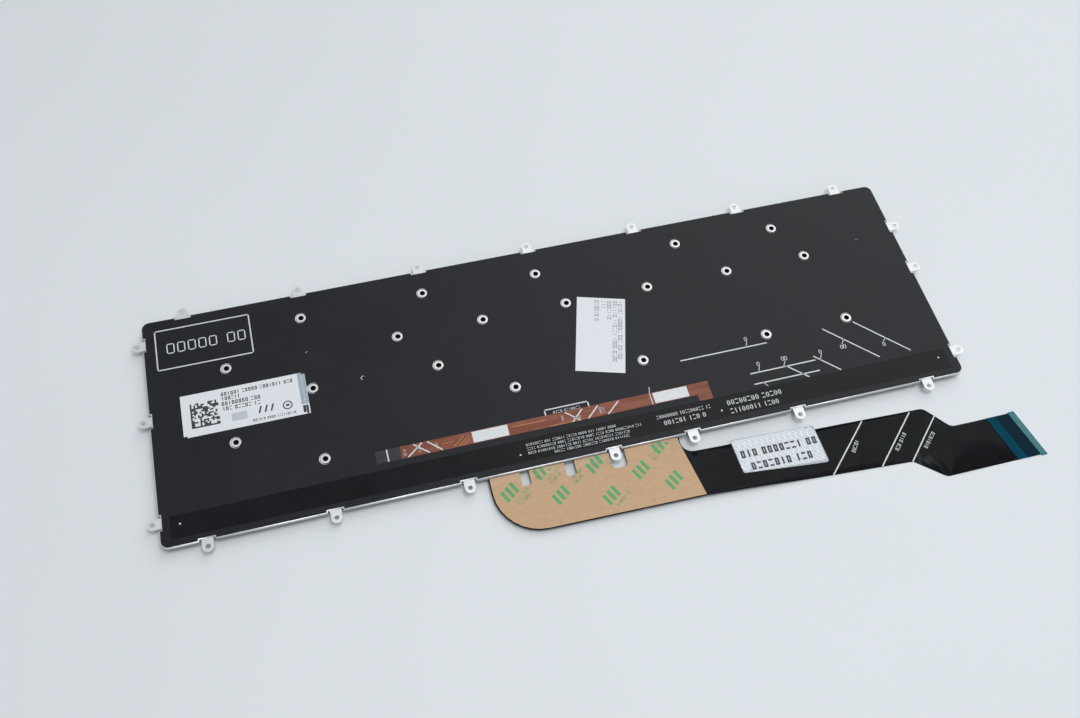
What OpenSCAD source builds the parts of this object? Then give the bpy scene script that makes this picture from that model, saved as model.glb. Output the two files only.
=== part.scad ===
// Backlit laptop keyboard module with a number pad, lying on its keytops with its back up.
// Z = 0 is the plane that the keytops rest on, and the origin is under the middle of the plate.
// Keys face -Z. Seen from the back, the letter keys are on the right (+X) and the number pad is on
// the left (-X). The function row is at the back edge (+Y) and the space bar at the front (-Y).
// All sizes are in millimetres.

/* [Key grid] */
// Distance between neighbouring keys along a row
key_pitch = 19.05; // [18:0.05:19.5]
// Distance between neighbouring rows
row_pitch = 18.05; // [17:0.05:19.05]
// Depth of the function row
fn_row_d = 12.05; // [11:0.05:15]
// Width of one number pad column
pad_pitch = 17.15; // [16:0.05:19.05]
// Gap between neighbouring keycaps
key_gap = 3.2; // [2.6:0.1:3.6]
// Gap between the two half-height arrow keycaps
arrow_gap = 0.8; // [0.5:0.1:1.2]
// Width taken by the backspace key
backspace_w = 29.95; // [26:0.05:38]
// Width taken by the tab key
tab_w = 28.6; // [26:0.05:32]
// Width taken by the caps lock key
caps_w = 33.3; // [29:0.05:38]
// Width taken by the left shift key
shift_w = 41.6; // [38:0.05:46]
// Width taken by the left control key
ctrl_w = 23.8; // [19:0.05:28]
// Width taken by the space bar
space_w = 100; // [90:0.5:110]
// How far the key grid sits off the middle of the plate
grid_shift = 0.4; // [0:0.1:0.8]

/* [Keycaps] */
// Height of a keycap, from its touch face to the rim of its skirt
cap_h = 1.9; // [1.7:0.05:2.2]
// Thickness of a keycap's top
cap_skin = 0.9; // [0.7:0.05:1]
// Thickness of a keycap's skirt
cap_wall = 0.8; // [0.6:0.05:1]
// Radius of a keycap's upright corners
cap_r = 1.2; // [0.8:0.1:2]
// How far each side leans in from the rim to the touch face
cap_lean = 0.35; // [0.1:0.05:0.6]
// Depth of the dish in the touch face
dish_depth = 0.15; // [0.05:0.05:0.3]
// Flat rim left around the dish
dish_rim = 1.3; // [1:0.1:2.5]
// How far a key travels when it is pressed
travel = 1.4; // [1.2:0.05:1.6]

/* [Scissor levers and domes] */
// Longest lever, end to end
lever_l = 9; // [8:0.1:10]
// Width of the outer lever
lever_w = 10.6; // [9.5:0.1:11]
// Thickness of the levers
lever_t = 0.5; // [0.4:0.05:0.6]
// Width of a lever's bars
lever_bar = 0.8; // [0.7:0.05:1]
// Radius of the pin that joins two levers
pin_r = 0.28; // [0.2:0.02:0.34]
// Clearance around everything that moves in the mechanism
play = 0.06; // [0.04:0.01:0.1]
// Largest radius of a rubber dome at its foot
dome_r = 2.7; // [2.2:0.1:3]
// Wall thickness of a rubber dome
dome_wall = 0.25; // [0.2:0.05:0.35]

/* [Plate] */
// Thickness of the plate's sheet metal
plate_t = 0.4; // [0.3:0.05:0.5]
// How far the key grid reaches past the plate's left and right edges
side_trim = 1.5; // [1:0.1:2]
// Bare plate in front of and behind the key grid
end_margin = 1.5; // [1.2:0.1:3]
// Radius of the plate's corners
plate_r = 3; // [2:0.1:5]
// How far the plate's turned-down edge reaches below its underside
flange_h = 0.6; // [0.4:0.05:0.8]
// Distance from the plate's edge to the outermost keycaps
cap_inset = 0.8; // [0.5:0.1:1.2]
// Radius of a formed screw boss
boss_r = 2.1; // [1.9:0.05:2.3]
// Radius of the screw hole through a boss
screw_r = 1.05; // [0.9:0.05:1.2]
// Width of a fixing tab
tab_width = 4.5; // [4:0.1:5]
// Distance from the plate's edge to a tab's hole
tab_reach = 2.85; // [2.6:0.05:3.5]
// Radius of a tab's hole
tab_hole_r = 1; // [0.8:0.05:1.2]
// Width of the notch that a tab stands in
notch_w = 7; // [6.4:0.1:8]
// Depth of that notch
notch_d = 1; // [0.8:0.1:1.2]

/* [Sheets and films] */
// Thickness of each printed membrane sheet
sheet_t = 0.08; // [0.06:0.01:0.1]
// Thickness of the spacer between the two printed sheets
spacer_t = 0.09; // [0.06:0.01:0.12]
// Free height between a fully pressed keycap and the membrane
press_room = 0.4; // [0.3:0.05:0.5]
// Thickness of the light guide
guide_t = 0.4; // [0.3:0.05:0.5]
// Thickness of the white reflector
reflector_t = 0.1; // [0.06:0.01:0.15]
// Thickness of the black back film
film_t = 0.15; // [0.1:0.01:0.2]
// Radius of the film's opening around a screw boss
film_hole_r = 2.6; // [2.5:0.05:2.8]
// Radius of the reflector's opening, a little off centre, which shows as a white crescent
reflector_hole_r = 2.4; // [2.38:0.01:2.5]
// How far that opening sits off centre
reflector_shift = 0.22; // [0.1:0.01:0.25]
// Thickness of labels, tapes and printed strips on the back
label_t = 0.08; // [0.05:0.01:0.12]

/* [Light strip] */
// Length of the strip along the plate
strip_l = 134; // [120:1:145]
// Width of the strip
strip_w = 5.6; // [4.6:0.1:6.2]
// Number of lamps under the strip
lamp_count = 6; // [4:1:8]
// Length of one lamp
lamp_l = 3; // [2:0.1:3.8]
// Width of one lamp
lamp_w = 1; // [0.8:0.1:1.4]

/* [Flexible tail] */
// Thickness of the tail's flexible circuit
tail_t = 0.12; // [0.08:0.01:0.16]
// Width of the tail where it leaves the plate
tail_root_w = 81.8; // [76:0.2:86]
// Height of the root's free area above the table
tail_lift = 2; // [1:0.1:2.4]
// Distance from the plate to the front edge of the root
tail_reach = 27.8; // [26:0.1:30]
// Radius of the root's rounded corner
tail_corner_r = 19.5; // [14:0.5:22]
// Width of the tail's straight run
tail_run_w = 20.3; // [17:0.1:22]
// Thickness of the tape liner on the tail's root
liner_t = 0.1; // [0.06:0.01:0.15]
// Thickness of the stiffener at the contact end
stiffener_t = 0.2; // [0.15:0.01:0.25]
// Length of the bare contacts
contact_l = 3; // [2.5:0.1:4]
// Number of contacts
contact_count = 30; // [24:1:34]
// Width of one contact
contact_w = 0.32; // [0.2:0.02:0.36]
// Thickness of one contact
contact_t = 0.04; // [0.03:0.01:0.06]

/* [Hidden] */
$fn = 48;
letter_cols = 13;
pad_cols = 4;
fn_cols = 16;

// Sizes of the grid and the plate
block_w = letter_cols * key_pitch + backspace_w;
grid_w = block_w + pad_cols * pad_pitch;
grid_d = fn_row_d + 5 * row_pitch;
plate_w = grid_w - 2 * side_trim;
plate_d = grid_d + 2 * end_margin;
left_x = grid_w / 2 + grid_shift;
pad_x = left_x - block_w;
pad_mid_x = pad_x - pad_cols * pad_pitch / 2;
row_y = [for (r = [0:6]) grid_d / 2 - (r == 0 ? 0 : fn_row_d + (r - 1) * row_pitch)];
fn_pitch = block_w / fn_cols;
edge_x = plate_w / 2;
edge_y = plate_d / 2;

// Heights of the stack, from the keytops up to the back
cavity_z = cap_skin;
membrane_z = cap_h + travel + press_room;
spacer_z = membrane_z + sheet_t;
circuit_z = spacer_z + spacer_t;
plate_z = circuit_z + sheet_t;
guide_z = plate_z + plate_t;
reflector_z = guide_z + guide_t;
film_z = reflector_z + reflector_t;
back_z = film_z + film_t;

// Keys: each is [name, low x, high x, low y, high y] of the place that it takes in the grid.
// Only the typing keys have names.
function total(widths, n) = n == 0 ? 0 : widths[n - 1] + total(widths, n - 1);
function blanks(n) = [for (i = [1:1:n]) ""];
function letters(word) = [for (c = word) c];
function places(row, names, first, others) = let (
    used = first + total(others, len(others)),
    widths = concat([first], others, block_w - used > 1 ? [block_w - used] : [])
) [for (i = [0:len(widths) - 1])
    [names[i], left_x - total(widths, i + 1), left_x - total(widths, i), row_y[row + 1], row_y[row]]];
function pitches(n, pitch = key_pitch) = [for (i = [1:n]) pitch];

fn_keys = places(0, blanks(fn_cols), fn_pitch, pitches(fn_cols - 1, fn_pitch));
digit_keys = places(1, concat([""], letters("1234567890"), blanks(3)), key_pitch, pitches(12));
upper_keys = places(2, concat([""], letters("qwertyuiop"), blanks(3)), tab_w, pitches(12));
home_keys = places(3, concat([""], letters("asdfghjkl"), blanks(3)), caps_w, pitches(11));
lower_keys = places(4, concat([""], letters("zxcvbnm"), blanks(4)), shift_w, pitches(10));

// The bottom row ends in three arrow columns of equal width
bottom_widths = concat([ctrl_w], pitches(3), [space_w], pitches(2));
arrow_w = (block_w - total(bottom_widths, 7)) / 3;
bottom_names = concat(blanks(4), ["space"], blanks(2));
arrow_x = [for (i = [0:3]) pad_x + (3 - i) * arrow_w];
arrow_y = (row_y[5] + row_y[6]) / 2;
arrow_lap = (key_gap - arrow_gap) / 2;
bottom_keys = [for (i = [0:6])
    [bottom_names[i], left_x - total(bottom_widths, i + 1), left_x - total(bottom_widths, i), row_y[6], row_y[5]]];
arrow_keys = [
    ["", arrow_x[1], arrow_x[0], row_y[6], row_y[5]],
    ["", arrow_x[2], arrow_x[1], arrow_y - arrow_lap, row_y[5]],
    ["", arrow_x[2], arrow_x[1], row_y[6], arrow_y + arrow_lap],
    ["", arrow_x[3], arrow_x[2], row_y[6], row_y[5]]
];

function pad_place(col, row, cols = 1, rows = 1) =
    ["", pad_x - (col + cols) * pad_pitch, pad_x - col * pad_pitch, row_y[row + rows], row_y[row]];
pad_keys = concat(
    [for (r = [0:4], c = [0:2]) pad_place(c, r)],
    [pad_place(3, 0), pad_place(3, 1), pad_place(3, 2, rows = 2), pad_place(3, 4, rows = 2)],
    [pad_place(0, 5, cols = 2), pad_place(2, 5)]
);
all_keys = concat(fn_keys, digit_keys, upper_keys, home_keys, lower_keys, bottom_keys, arrow_keys, pad_keys);
typing_keys = [for (k = all_keys) if (k[0] != "") k];
plain_keys = [for (k = all_keys) if (k[0] == "") k];

// A keycap's outline inside its place, kept clear of the plate's edge
function cap_x0(k) = max(k[1] + key_gap / 2, cap_inset - edge_x);
function cap_x1(k) = min(k[2] - key_gap / 2, edge_x - cap_inset);
function cap_y0(k) = k[3] + key_gap / 2;
function cap_y1(k) = k[4] - key_gap / 2;
function cap_w(k) = cap_x1(k) - cap_x0(k);
function cap_d(k) = cap_y1(k) - cap_y0(k);
function cap_mid(k) = [(cap_x0(k) + cap_x1(k)) / 2, (cap_y0(k) + cap_y1(k)) / 2];

// Levers: they cross at mid height and reach from the keycap's ceiling to the membrane
clip_t = 0.55;
clip_gap = 0.2;
mech_z = (cavity_z + membrane_z) / 2;
mech_rise = (membrane_z - cavity_z) / 2 - lever_t / 2 - 0.15;
function lever_len(k) = min(lever_l, cap_d(k) - 2 * (cap_wall + clip_t + clip_gap + play));
function lever_tilt(k) = asin(mech_rise / (lever_len(k) / 2));
function lever_end(k) = lever_len(k) / 2 * cos(lever_tilt(k)) + lever_t / 2 * sin(lever_tilt(k));
inner_w = lever_w - 2 * lever_bar - 2 * play;
function foot_r(k) = min(dome_r, (lever_len(k) / 2 - lever_bar) * cos(lever_tilt(k)) - 2 * play);

// Hooks of the plate and clips of the keycap take turns along each end of the levers
hook_w = 3;
hook_lip = 0.4;
hook_t = 0.3;
clip_x = 3.2;
clip_w = 1;
window_l = 2.2;
window_land = 0.1;

// Wide keys have a stabiliser wire
wire_r = 0.4;
wire_from_w = 30.5;
wire_inset = 5;
wire_foot_y = 2.6;
wide_keys = [for (k = all_keys) if (cap_w(k) > wire_from_w - key_gap && cap_d(k) < row_pitch) k];
function wire_half(k) = cap_w(k) / 2 - wire_inset;
wire_z = cavity_z + wire_r + play;
wire_foot_z = membrane_z - wire_r - play;

// Screw bosses stand at the corners of the key places, with their tops flush with the back film
boss_roof_z = back_z - plate_t;
function letter_x(first, n) = left_x - first - n * key_pitch;
screws = concat(
    [[letter_x(0, 3), row_y[1] + 0.3], [left_x - 6 * fn_pitch, row_y[1] + 2.1]],
    [[letter_x(0, 9), row_y[1] + 0.5], [left_x - 13 * fn_pitch + 2.2, row_y[1] + 1.8]],
    [[pad_x, row_y[1] + 1.1], [pad_mid_x, row_y[2] + 1.2]],
    [for (n = [1:2:11]) [letter_x(tab_w, n), row_y[2] + 0.2]],
    [[letter_x(caps_w, 10), row_y[3]], [pad_x, row_y[3] + 1.3]],
    [for (n = [0, 2, 5, 8]) [letter_x(shift_w, n), row_y[4] + 0.1]],
    [[pad_mid_x, row_y[4] + 1.5], [pad_x, row_y[5] + 3.8]]
);

// Tabs: the places along each edge, measured from the middle of the plate
corner_tab = edge_x - 17.5;
back_tabs = [-corner_tab, -103.7, -49.4, 1.7, 52.4, 103.6, corner_tab];
front_tabs = [-corner_tab, -103.7, -49.4, 12.2, 46.7, 94.1, corner_tab];
left_tabs = [41.7, 4.2, -41.7];
right_tabs = [28.1, 4.2, -41.7];

// Small locating holes through the back film and the layers under it: [x, y, radius]
pin_holes = [[pad_x, row_y[2] + 1.3, 0.6], [pad_x + 21.3, row_y[3] + 1.5, 1], [edge_x - 18, row_y[2] + 2.9, 0.8]];

// Light strip: its left end is black, and its foot turns down to the edge tape
strip_x0 = -0.43 * edge_x;
strip_y1 = -0.5926 * edge_y;
strip_x1 = strip_x0 + strip_l;
strip_y0 = strip_y1 - strip_w;
strip_foot_w = 6.2;
strip_end_l = 10.4;
lamp_room = 0.15;
lamp_x = [for (i = [0:lamp_count - 1]) strip_x0 + strip_l * (i + 0.5) / lamp_count];
lamp_y = strip_y1 - strip_w / 2;
strip_pads = [strip_x0 + 0.2246 * strip_l, strip_x0 + 0.8142 * strip_l];
strip_pad_l = 15.2;

// Edge tape along the front of the back film
front_land = 3;
tape_inset = 4.1;
tape_drop = 6.7;
tape_y1 = row_y[5] - tape_drop;
tape_y0 = front_land - edge_y;

// Labels on the back
part_label_size = [50.6, 19.2];
part_label_at = [-158.8, -6.3];
under_label_shift = 1.5;
paper_label_size = [21.6, 38];
paper_label_at = [22, 1.9];
paper_label_turn = -16.4;

// Tail: the root spans two straight stretches, then the run goes off to the right
tail_bond_d = 2;
tail_root_z = membrane_z - tail_t;
tail_x0 = -41.5;
tail_x1 = tail_x0 + tail_root_w;
bend_y = front_land - edge_y;
bend_d = 7.4;
tail_front = -edge_y - tail_reach;
run_x0 = tail_x1 + 3.7;
run_x1 = 148.6;
fall_l = 68;
run_slope = -3.4;
step_dy = -11;
end_x = 187.1;
end_lean = 5;
run_y1 = tail_front + tail_run_w;
run_y0 = tail_front;
step_w = 21.1;
step_y1 = run_y1 + run_slope + step_dy;
step_y0 = step_y1 - step_w;
bend_steps = 12;
slots = [[-28.4, -24.5, 6.3, 0.5], [-9.5, -5.2, 6.3, 0.5], [9.7, 16.4, 7.6, 2]];
liner_edge = 0.5;
liner_gap = 0.4;
stiffener_l = 13.5;
ear = 0.5;
root_skew = 1.4;
sticker = [[61.3, 0.9], [98.9, 0.1], [99.6, -17.5], [62, -14.6]];

function key_node(k) = str("key_", k[0]);

// Points of an outline with each corner [x, y, radius] rounded by an arc
function unit(v) = v / norm(v);
function corner_arc(before, at, after, steps = 8) = at[2] == 0 ? [[at[0], at[1]]] : let (
    p = [at[0], at[1]],
    u = unit([before[0], before[1]] - p),
    v = unit([after[0], after[1]] - p),
    half = acos(u * v) / 2,
    mid = p + unit(u + v) * at[2] / sin(half),
    from = atan2((p + u * at[2] / tan(half) - mid)[1], (p + u * at[2] / tan(half) - mid)[0]),
    to = atan2((p + v * at[2] / tan(half) - mid)[1], (p + v * at[2] / tan(half) - mid)[0]),
    turn = to - from > 180 ? to - from - 360 : to - from < -180 ? to - from + 360 : to - from
) [for (i = [0:steps]) mid + at[2] * [cos(from + turn * i / steps), sin(from + turn * i / steps)]];
function rounded(pts) = let (n = len(pts))
    [for (i = [0:n - 1]) each corner_arc(pts[(i + n - 1) % n], pts[i], pts[(i + 1) % n])];

// Flat rectangle with round corners, centred
module round_rect(w, d, r) {
    square([w - 2 * r, d], center = true);
    square([w, d - 2 * r], center = true);
    for (x = [-1, 1], y = [-1, 1])
        translate([x * (w / 2 - r), y * (d / 2 - r)])
            circle(r);
}

// The plate's outline, moved in by a distance, with a notch at each tab
module plate_outline(inset = 0) {
    difference() {
        round_rect(plate_w - 2 * inset, plate_d - 2 * inset, plate_r - inset);
        at_tabs()
            square([notch_w + 2 * inset, 2 * (notch_d + inset)], center = true);
    }
}

// Repeats a shape at each tab, with its Y axis pointing out of the plate
module at_tabs() {
    for (x = back_tabs)
        translate([x, edge_y])
            children();
    for (x = front_tabs)
        translate([x, -edge_y])
            rotate(180)
                children();
    for (y = left_tabs)
        translate([-edge_x, y])
            rotate(90)
                children();
    for (y = right_tabs)
        translate([edge_x, y])
            rotate(-90)
                children();
}

module at_screws() {
    for (p = screws)
        translate(p)
            children();
}

module at_keys(keys) {
    for (k = keys)
        translate(cap_mid(k)) {
            $key = k;
            children();
        }
}

// Thin sheet between two heights
module layer(z, t) {
    translate([0, 0, z])
        linear_extrude(t)
            children();
}

// Plan of the plate's hooks for one key, with room around them
module hook_plan(room = 0) {
    reach = lever_end($key) + play;
    for (side = [-1, 1])
        translate([0, side * (reach + hook_t / 2)])
            square([hook_w + 2 * room, hook_t + 2 * room], center = true);
}

// Windows that the hooks were bent out of
module window_plan() {
    reach = lever_end($key) + play;
    for (side = [-1, 1])
        translate([0, side * (reach - window_land - window_l / 2)])
            square([hook_w, window_l], center = true);
}

module wire_foot_plan(room = 0) {
    for (side = [-1, 1])
        translate([side * (wire_half($key) - 2), wire_foot_y + wire_r + play + hook_t / 2])
            square([1.6 + 2 * room, hook_t + 2 * room], center = true);
}

module hook_lip() {
    reach = lever_end($key) + play;
    for (side = [-1, 1])
        translate([0, side * (reach + hook_t / 2 - hook_lip / 2)])
            square([hook_w, hook_lip + hook_t], center = true);
}

// Height of a hook's lip, just under the raised end of the lever that it holds
function hook_z(k) = mech_z + mech_rise - lever_t / 2 / cos(lever_tilt(k)) - hook_lip * tan(lever_tilt(k)) - play - hook_t;

module base_plate() {
    color("silver")
        difference() {
            union() {
                layer(plate_z, plate_t)
                    difference() {
                        plate_outline();
                        at_keys(all_keys)
                            window_plan();
                    }
                layer(plate_z - flange_h, flange_h)
                    difference() {
                        plate_outline();
                        plate_outline(plate_t);
                        at_tabs()
                            square([tab_width + 1, 4 * notch_d], center = true);
                    }
                layer(plate_z, plate_t)
                    at_tabs()
                        difference() {
                            union() {
                                translate([-tab_width / 2, -2 * notch_d])
                                    square([tab_width, 2 * notch_d + tab_reach]);
                                translate([0, tab_reach])
                                    circle(tab_width / 2);
                            }
                            translate([0, tab_reach])
                                circle(tab_hole_r);
                        }
                at_keys(all_keys) {
                    layer(hook_z($key), plate_z - hook_z($key))
                        hook_plan();
                    layer(hook_z($key), hook_t)
                        hook_lip();
                }
                layer(wire_foot_z - wire_r, plate_z - wire_foot_z + wire_r)
                    at_keys(wide_keys)
                        wire_foot_plan();
                layer(guide_z, back_z - guide_z)
                    at_screws()
                        circle(boss_r);
            }
            layer(plate_z - 1, back_z)
                at_screws()
                    circle(screw_r);
            layer(plate_z - 1, 1 + boss_roof_z - plate_z)
                at_screws()
                    circle(boss_r - plate_t);
        }
}

// Openings in the membrane for the hooks and the screws
module membrane_cuts(room) {
    at_keys(all_keys)
        hook_plan(room);
    at_keys(wide_keys)
        wire_foot_plan(room);
    at_screws()
        circle(boss_r - plate_t);
}

module membrane_sheet(z, t) {
    layer(z, t)
        difference() {
            plate_outline(plate_t + 3 * play);
            membrane_cuts(3 * play);
            if ($children > 0)
                children();
        }
}

module membrane_upper() {
    color("dimgray")
        membrane_sheet(membrane_z, sheet_t);
}

module membrane_spacer() {
    color("gainsboro")
        membrane_sheet(spacer_z, spacer_t)
            at_keys(all_keys)
                circle(foot_r($key) * 0.7);
}

module membrane_circuit() {
    color("lightsteelblue")
        membrane_sheet(circuit_z, sheet_t);
}

// One dome: its foot stands on the membrane and its crown meets the keycap
module dome() {
    foot = foot_r($key);
    crown_z = cavity_z + play;
    h = membrane_z - crown_z;
    crown_t = 0.6;
    translate([0, 0, crown_z])
        difference() {
            cylinder(h, foot * 0.55, foot);
            translate([0, 0, crown_t])
                cylinder(h - crown_t, (foot - dome_wall) * 0.65, foot - dome_wall);
        }
}

module rubber_domes() {
    color("whitesmoke")
        at_keys(all_keys)
            dome();
}

// A lever: a flat frame with round bosses or pins at its middle, tilted about X
module lever_frame(w, l) {
    linear_extrude(lever_t, center = true)
        difference() {
            square([w, l], center = true);
            square([w - 2 * lever_bar, l - 2 * lever_bar], center = true);
        }
}

module outer_lever() {
    rotate([lever_tilt($key), 0, 0])
        difference() {
            union() {
                lever_frame(lever_w, lever_len($key));
                for (x = [-1, 1])
                    translate([x * (lever_w - lever_bar) / 2, 0, 0])
                        rotate([0, 90, 0])
                            cylinder(lever_bar, r = pin_r + 0.35, center = true);
            }
            rotate([0, 90, 0])
                cylinder(lever_w + 1, r = pin_r + play, center = true);
        }
}

module inner_lever() {
    rotate([-lever_tilt($key), 0, 0]) {
        lever_frame(inner_w, lever_len($key));
        for (x = [-1, 1])
            translate([x * (inner_w / 2 + lever_bar / 2 - play), 0, 0])
                rotate([0, 90, 0])
                    cylinder(lever_bar + 2 * play, r = pin_r, center = true);
    }
}

module scissor_outer() {
    color("white")
        at_keys(all_keys)
            translate([0, 0, mech_z])
                outer_lever();
}

module scissor_inner() {
    color("ivory")
        at_keys(all_keys)
            translate([0, 0, mech_z])
                inner_lever();
}

// Side view of a keycap: upright near the rim, leaning in and eased at the touch face
module cap_profile(w) {
    ease = 0.25;
    polygon([
        [-w / 2, cap_h],
        [-w / 2 + cap_lean - 0.1, ease],
        [-w / 2 + cap_lean, ease / 3],
        [-w / 2 + cap_lean + ease / 2, 0],
        [w / 2 - cap_lean - ease / 2, 0],
        [w / 2 - cap_lean, ease / 3],
        [w / 2 - cap_lean + 0.1, ease],
        [w / 2, cap_h]
    ]);
}

module cap_body(w, d) {
    intersection() {
        layer(0, cap_h)
            round_rect(w, d, cap_r);
        rotate([90, 0, 0])
            linear_extrude(d + 2, center = true)
                cap_profile(w);
        rotate([90, 0, 90])
            linear_extrude(w + 2, center = true)
                cap_profile(d);
    }
}

// Shallow round dish inside a flat rim, for keys up to a letter key's width
module cap_dish(w, d) {
    r = min(w, d) / 2 - dish_rim;
    if (w < key_pitch && d > row_pitch / 2)
        cylinder(dish_depth, r, r * 0.55);
}

// Clips inside the cap that hold the low end of each lever
module cap_clips() {
    reach = lever_end($key) + play;
    low_z = mech_z - mech_rise;
    top_z = low_z + lever_t / 2 + play + 0.3;
    for (side = [-1, 1], x = [-clip_x, clip_x])
        translate([x, side * (reach + clip_t / 2), (cavity_z + top_z) / 2 - 0.05])
            cube([clip_w, clip_t, top_z - cavity_z + 0.1], center = true);
}

module keycap() {
    w = cap_w($key);
    d = cap_d($key);
    difference() {
        cap_body(w, d);
        layer(cavity_z, cap_h)
            square([w - 2 * cap_wall, d - 2 * cap_wall], center = true);
        cap_dish(w, d);
    }
    cap_clips();
}

module typing_key(k) {
    color("#222326")
        at_keys([k])
            keycap();
}

// The function, control, arrow and number pad keys
module other_keys() {
    color("#222326")
        at_keys(plain_keys)
            keycap();
}

module stabiliser_wires() {
    color("lightgray")
        at_keys(wide_keys)
            stabiliser_wire();
}

// A bent wire: a bar along the keycap, two arms up to the plate and two feet turned in
module stabiliser_wire() {
    half = wire_half($key);
    bar_y = -cap_d($key) / 2 + cap_wall + wire_r + play;
    rise = wire_foot_z - wire_z;
    run = wire_foot_y - bar_y;
    translate([0, bar_y, wire_z])
        rotate([0, 90, 0])
            cylinder(2 * half + 2 * wire_r, r = wire_r, center = true);
    for (side = [-1, 1]) {
        translate([side * half, bar_y, wire_z])
            rotate([-atan2(run, rise), 0, 0])
                cylinder(norm([run, rise]), r = wire_r - 0.03);
        translate([side * (half + wire_r), wire_foot_y, wire_foot_z])
            rotate([0, -side * 90, 0])
                cylinder(3 + wire_r, r = wire_r);
    }
}

module lamp_cuts(room) {
    for (x = lamp_x)
        translate([x, lamp_y])
            square([lamp_l + 2 * room, lamp_w + 2 * room], center = true);
}

module pin_cuts() {
    for (p = pin_holes)
        translate([p[0], p[1]])
            circle(p[2]);
}

module light_guide() {
    color("white", 0.8)
        layer(guide_z, guide_t)
            difference() {
                plate_outline(play);
                at_screws()
                    circle(film_hole_r);
                lamp_cuts(lamp_room);
                pin_cuts();
            }
}

module reflector() {
    color("white")
        layer(reflector_z, reflector_t)
            difference() {
                plate_outline(play);
                at_screws()
                    translate([reflector_shift, 0])
                        circle(reflector_hole_r);
                lamp_cuts(lamp_room);
                pin_cuts();
            }
}

module back_film() {
    color("#2c2e32")
        layer(film_z, film_t)
            difference() {
                plate_outline();
                at_screws()
                    circle(film_hole_r);
                lamp_cuts(lamp_room);
                pin_cuts();
            }
}

module edge_tape() {
    color("#1d1f22")
        layer(back_z, label_t)
            translate([tape_inset - edge_x, tape_y0])
                square([plate_w - 2 * tape_inset, tape_y1 - tape_y0]);
}

module light_strip() {
    color("#b5562f")
        layer(back_z, label_t) {
            translate([strip_x0 - strip_end_l, strip_y0])
                square([strip_l + strip_end_l, strip_w]);
            translate([strip_x1 - strip_foot_w, tape_y1])
                square([strip_foot_w, strip_y0 - tape_y1 + 1]);
        }
}

module lamps() {
    color("lightyellow")
        layer(guide_z + 0.05, back_z - guide_z - 0.05)
            lamp_cuts(0);
}

module strip_pads() {
    color("white")
        layer(back_z + label_t, label_t / 2)
            for (x = strip_pads)
                translate([x, strip_y0 + 0.3])
                    square([strip_pad_l, strip_w - 0.6]);
}

// Two stacked labels, the lower one showing along two edges
module part_label() {
    color("whitesmoke") {
        layer(back_z, label_t / 2)
            translate(part_label_at + [under_label_shift, -under_label_shift / 2])
                square(part_label_size);
        layer(back_z + label_t / 2, label_t / 2)
            translate(part_label_at)
                square(part_label_size);
    }
}

module paper_label() {
    color("white")
        layer(back_z, label_t)
            translate(paper_label_at)
                rotate(paper_label_turn)
                    square(paper_label_size, center = true);
}

// Height of the tail's underside: it drops from the plate to its lift, then falls to the table
function ease_in(t) = t < 0 ? 0 : t > 1 ? 1 : t * t * (3 - 2 * t);
function root_height(y) = tail_lift + (tail_root_z - tail_lift) * (1 - ease_in((bend_y - y) / bend_d));
function run_height(x) = tail_lift * (1 - ease_in((x - run_x0) / fall_l));
root_ys = concat(
    [tail_front - bend_d],
    [for (i = [0:bend_steps]) bend_y - bend_d * (1 - i / bend_steps)],
    [bend_y + bend_d]
);
run_xs = concat([run_x0], [for (i = [1:bend_steps]) run_x0 + fall_l * i / bend_steps], [end_x + end_lean + bend_d]);

module root_slab(lift, t) {
    rotate([90, 0, 90])
        translate([0, 0, tail_x0 - bend_d])
            linear_extrude(run_x0 - tail_x0 + bend_d)
                polygon(concat(
                    [for (y = root_ys) [y, root_height(y) + lift]],
                    [for (i = [len(root_ys) - 1:-1:0]) [root_ys[i], root_height(root_ys[i]) + lift + t]]
                ));
}

module run_slab(lift, t) {
    rotate([90, 0, 0])
        linear_extrude(4 * edge_y, center = true)
            polygon(concat(
                [for (x = run_xs) [x, run_height(x) + lift]],
                [for (i = [len(run_xs) - 1:-1:0]) [run_xs[i], run_height(run_xs[i]) + lift + t]]
            ));
}

// A flat outline laid over the tail's bends
module on_tail(lift, t) {
    for (part = [0, 1])
        intersection() {
            translate([0, 0, -2])
                linear_extrude(20)
                    children();
            if (part == 0)
                root_slab(lift, t);
            else
                run_slab(lift, t);
        }
}

function end_edge(y) = end_x + end_lean * (step_y1 - y) / step_w;

// Plan of the tail, with a small ear on each side of its contacts
module tail_plan() {
    top = bend_y + tail_bond_d;
    polygon(rounded([
        [tail_x0, top, 0],
        [tail_x0, tail_front + root_skew, tail_corner_r],
        [run_x0, run_y0, 0],
        [run_x1 - 14.3, run_y0 + run_slope * 1.6, 3],
        [run_x1 - 2.9, step_y0, 4],
        [end_edge(step_y0) - contact_l, step_y0, 0],
        [end_edge(step_y0) - contact_l, step_y0 - ear, 0],
        [end_edge(step_y0), step_y0 - ear, 0],
        [end_edge(step_y1), step_y1 + ear, 0],
        [end_edge(step_y1) - contact_l, step_y1 + ear, 0],
        [end_edge(step_y1) - contact_l, step_y1, 0],
        [run_x1 + 8.5, step_y1, 4],
        [run_x1, run_y1 + run_slope, 4],
        [tail_x1 + 0.3, run_y1, 5],
        [tail_x1, top, 0]
    ]));
}

module tail_slots() {
    for (s = slots) {
        y0 = -edge_y - s[2];
        polygon(rounded([
            [s[0], -edge_y + notch_d, 0], [s[0], y0, s[3]], [s[1], y0, s[3]], [s[1], -edge_y + notch_d, 0]
        ]));
    }
}

module flex_tail() {
    color("#202124")
        on_tail(0, tail_t)
            difference() {
                tail_plan();
                tail_slots();
            }
}

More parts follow.
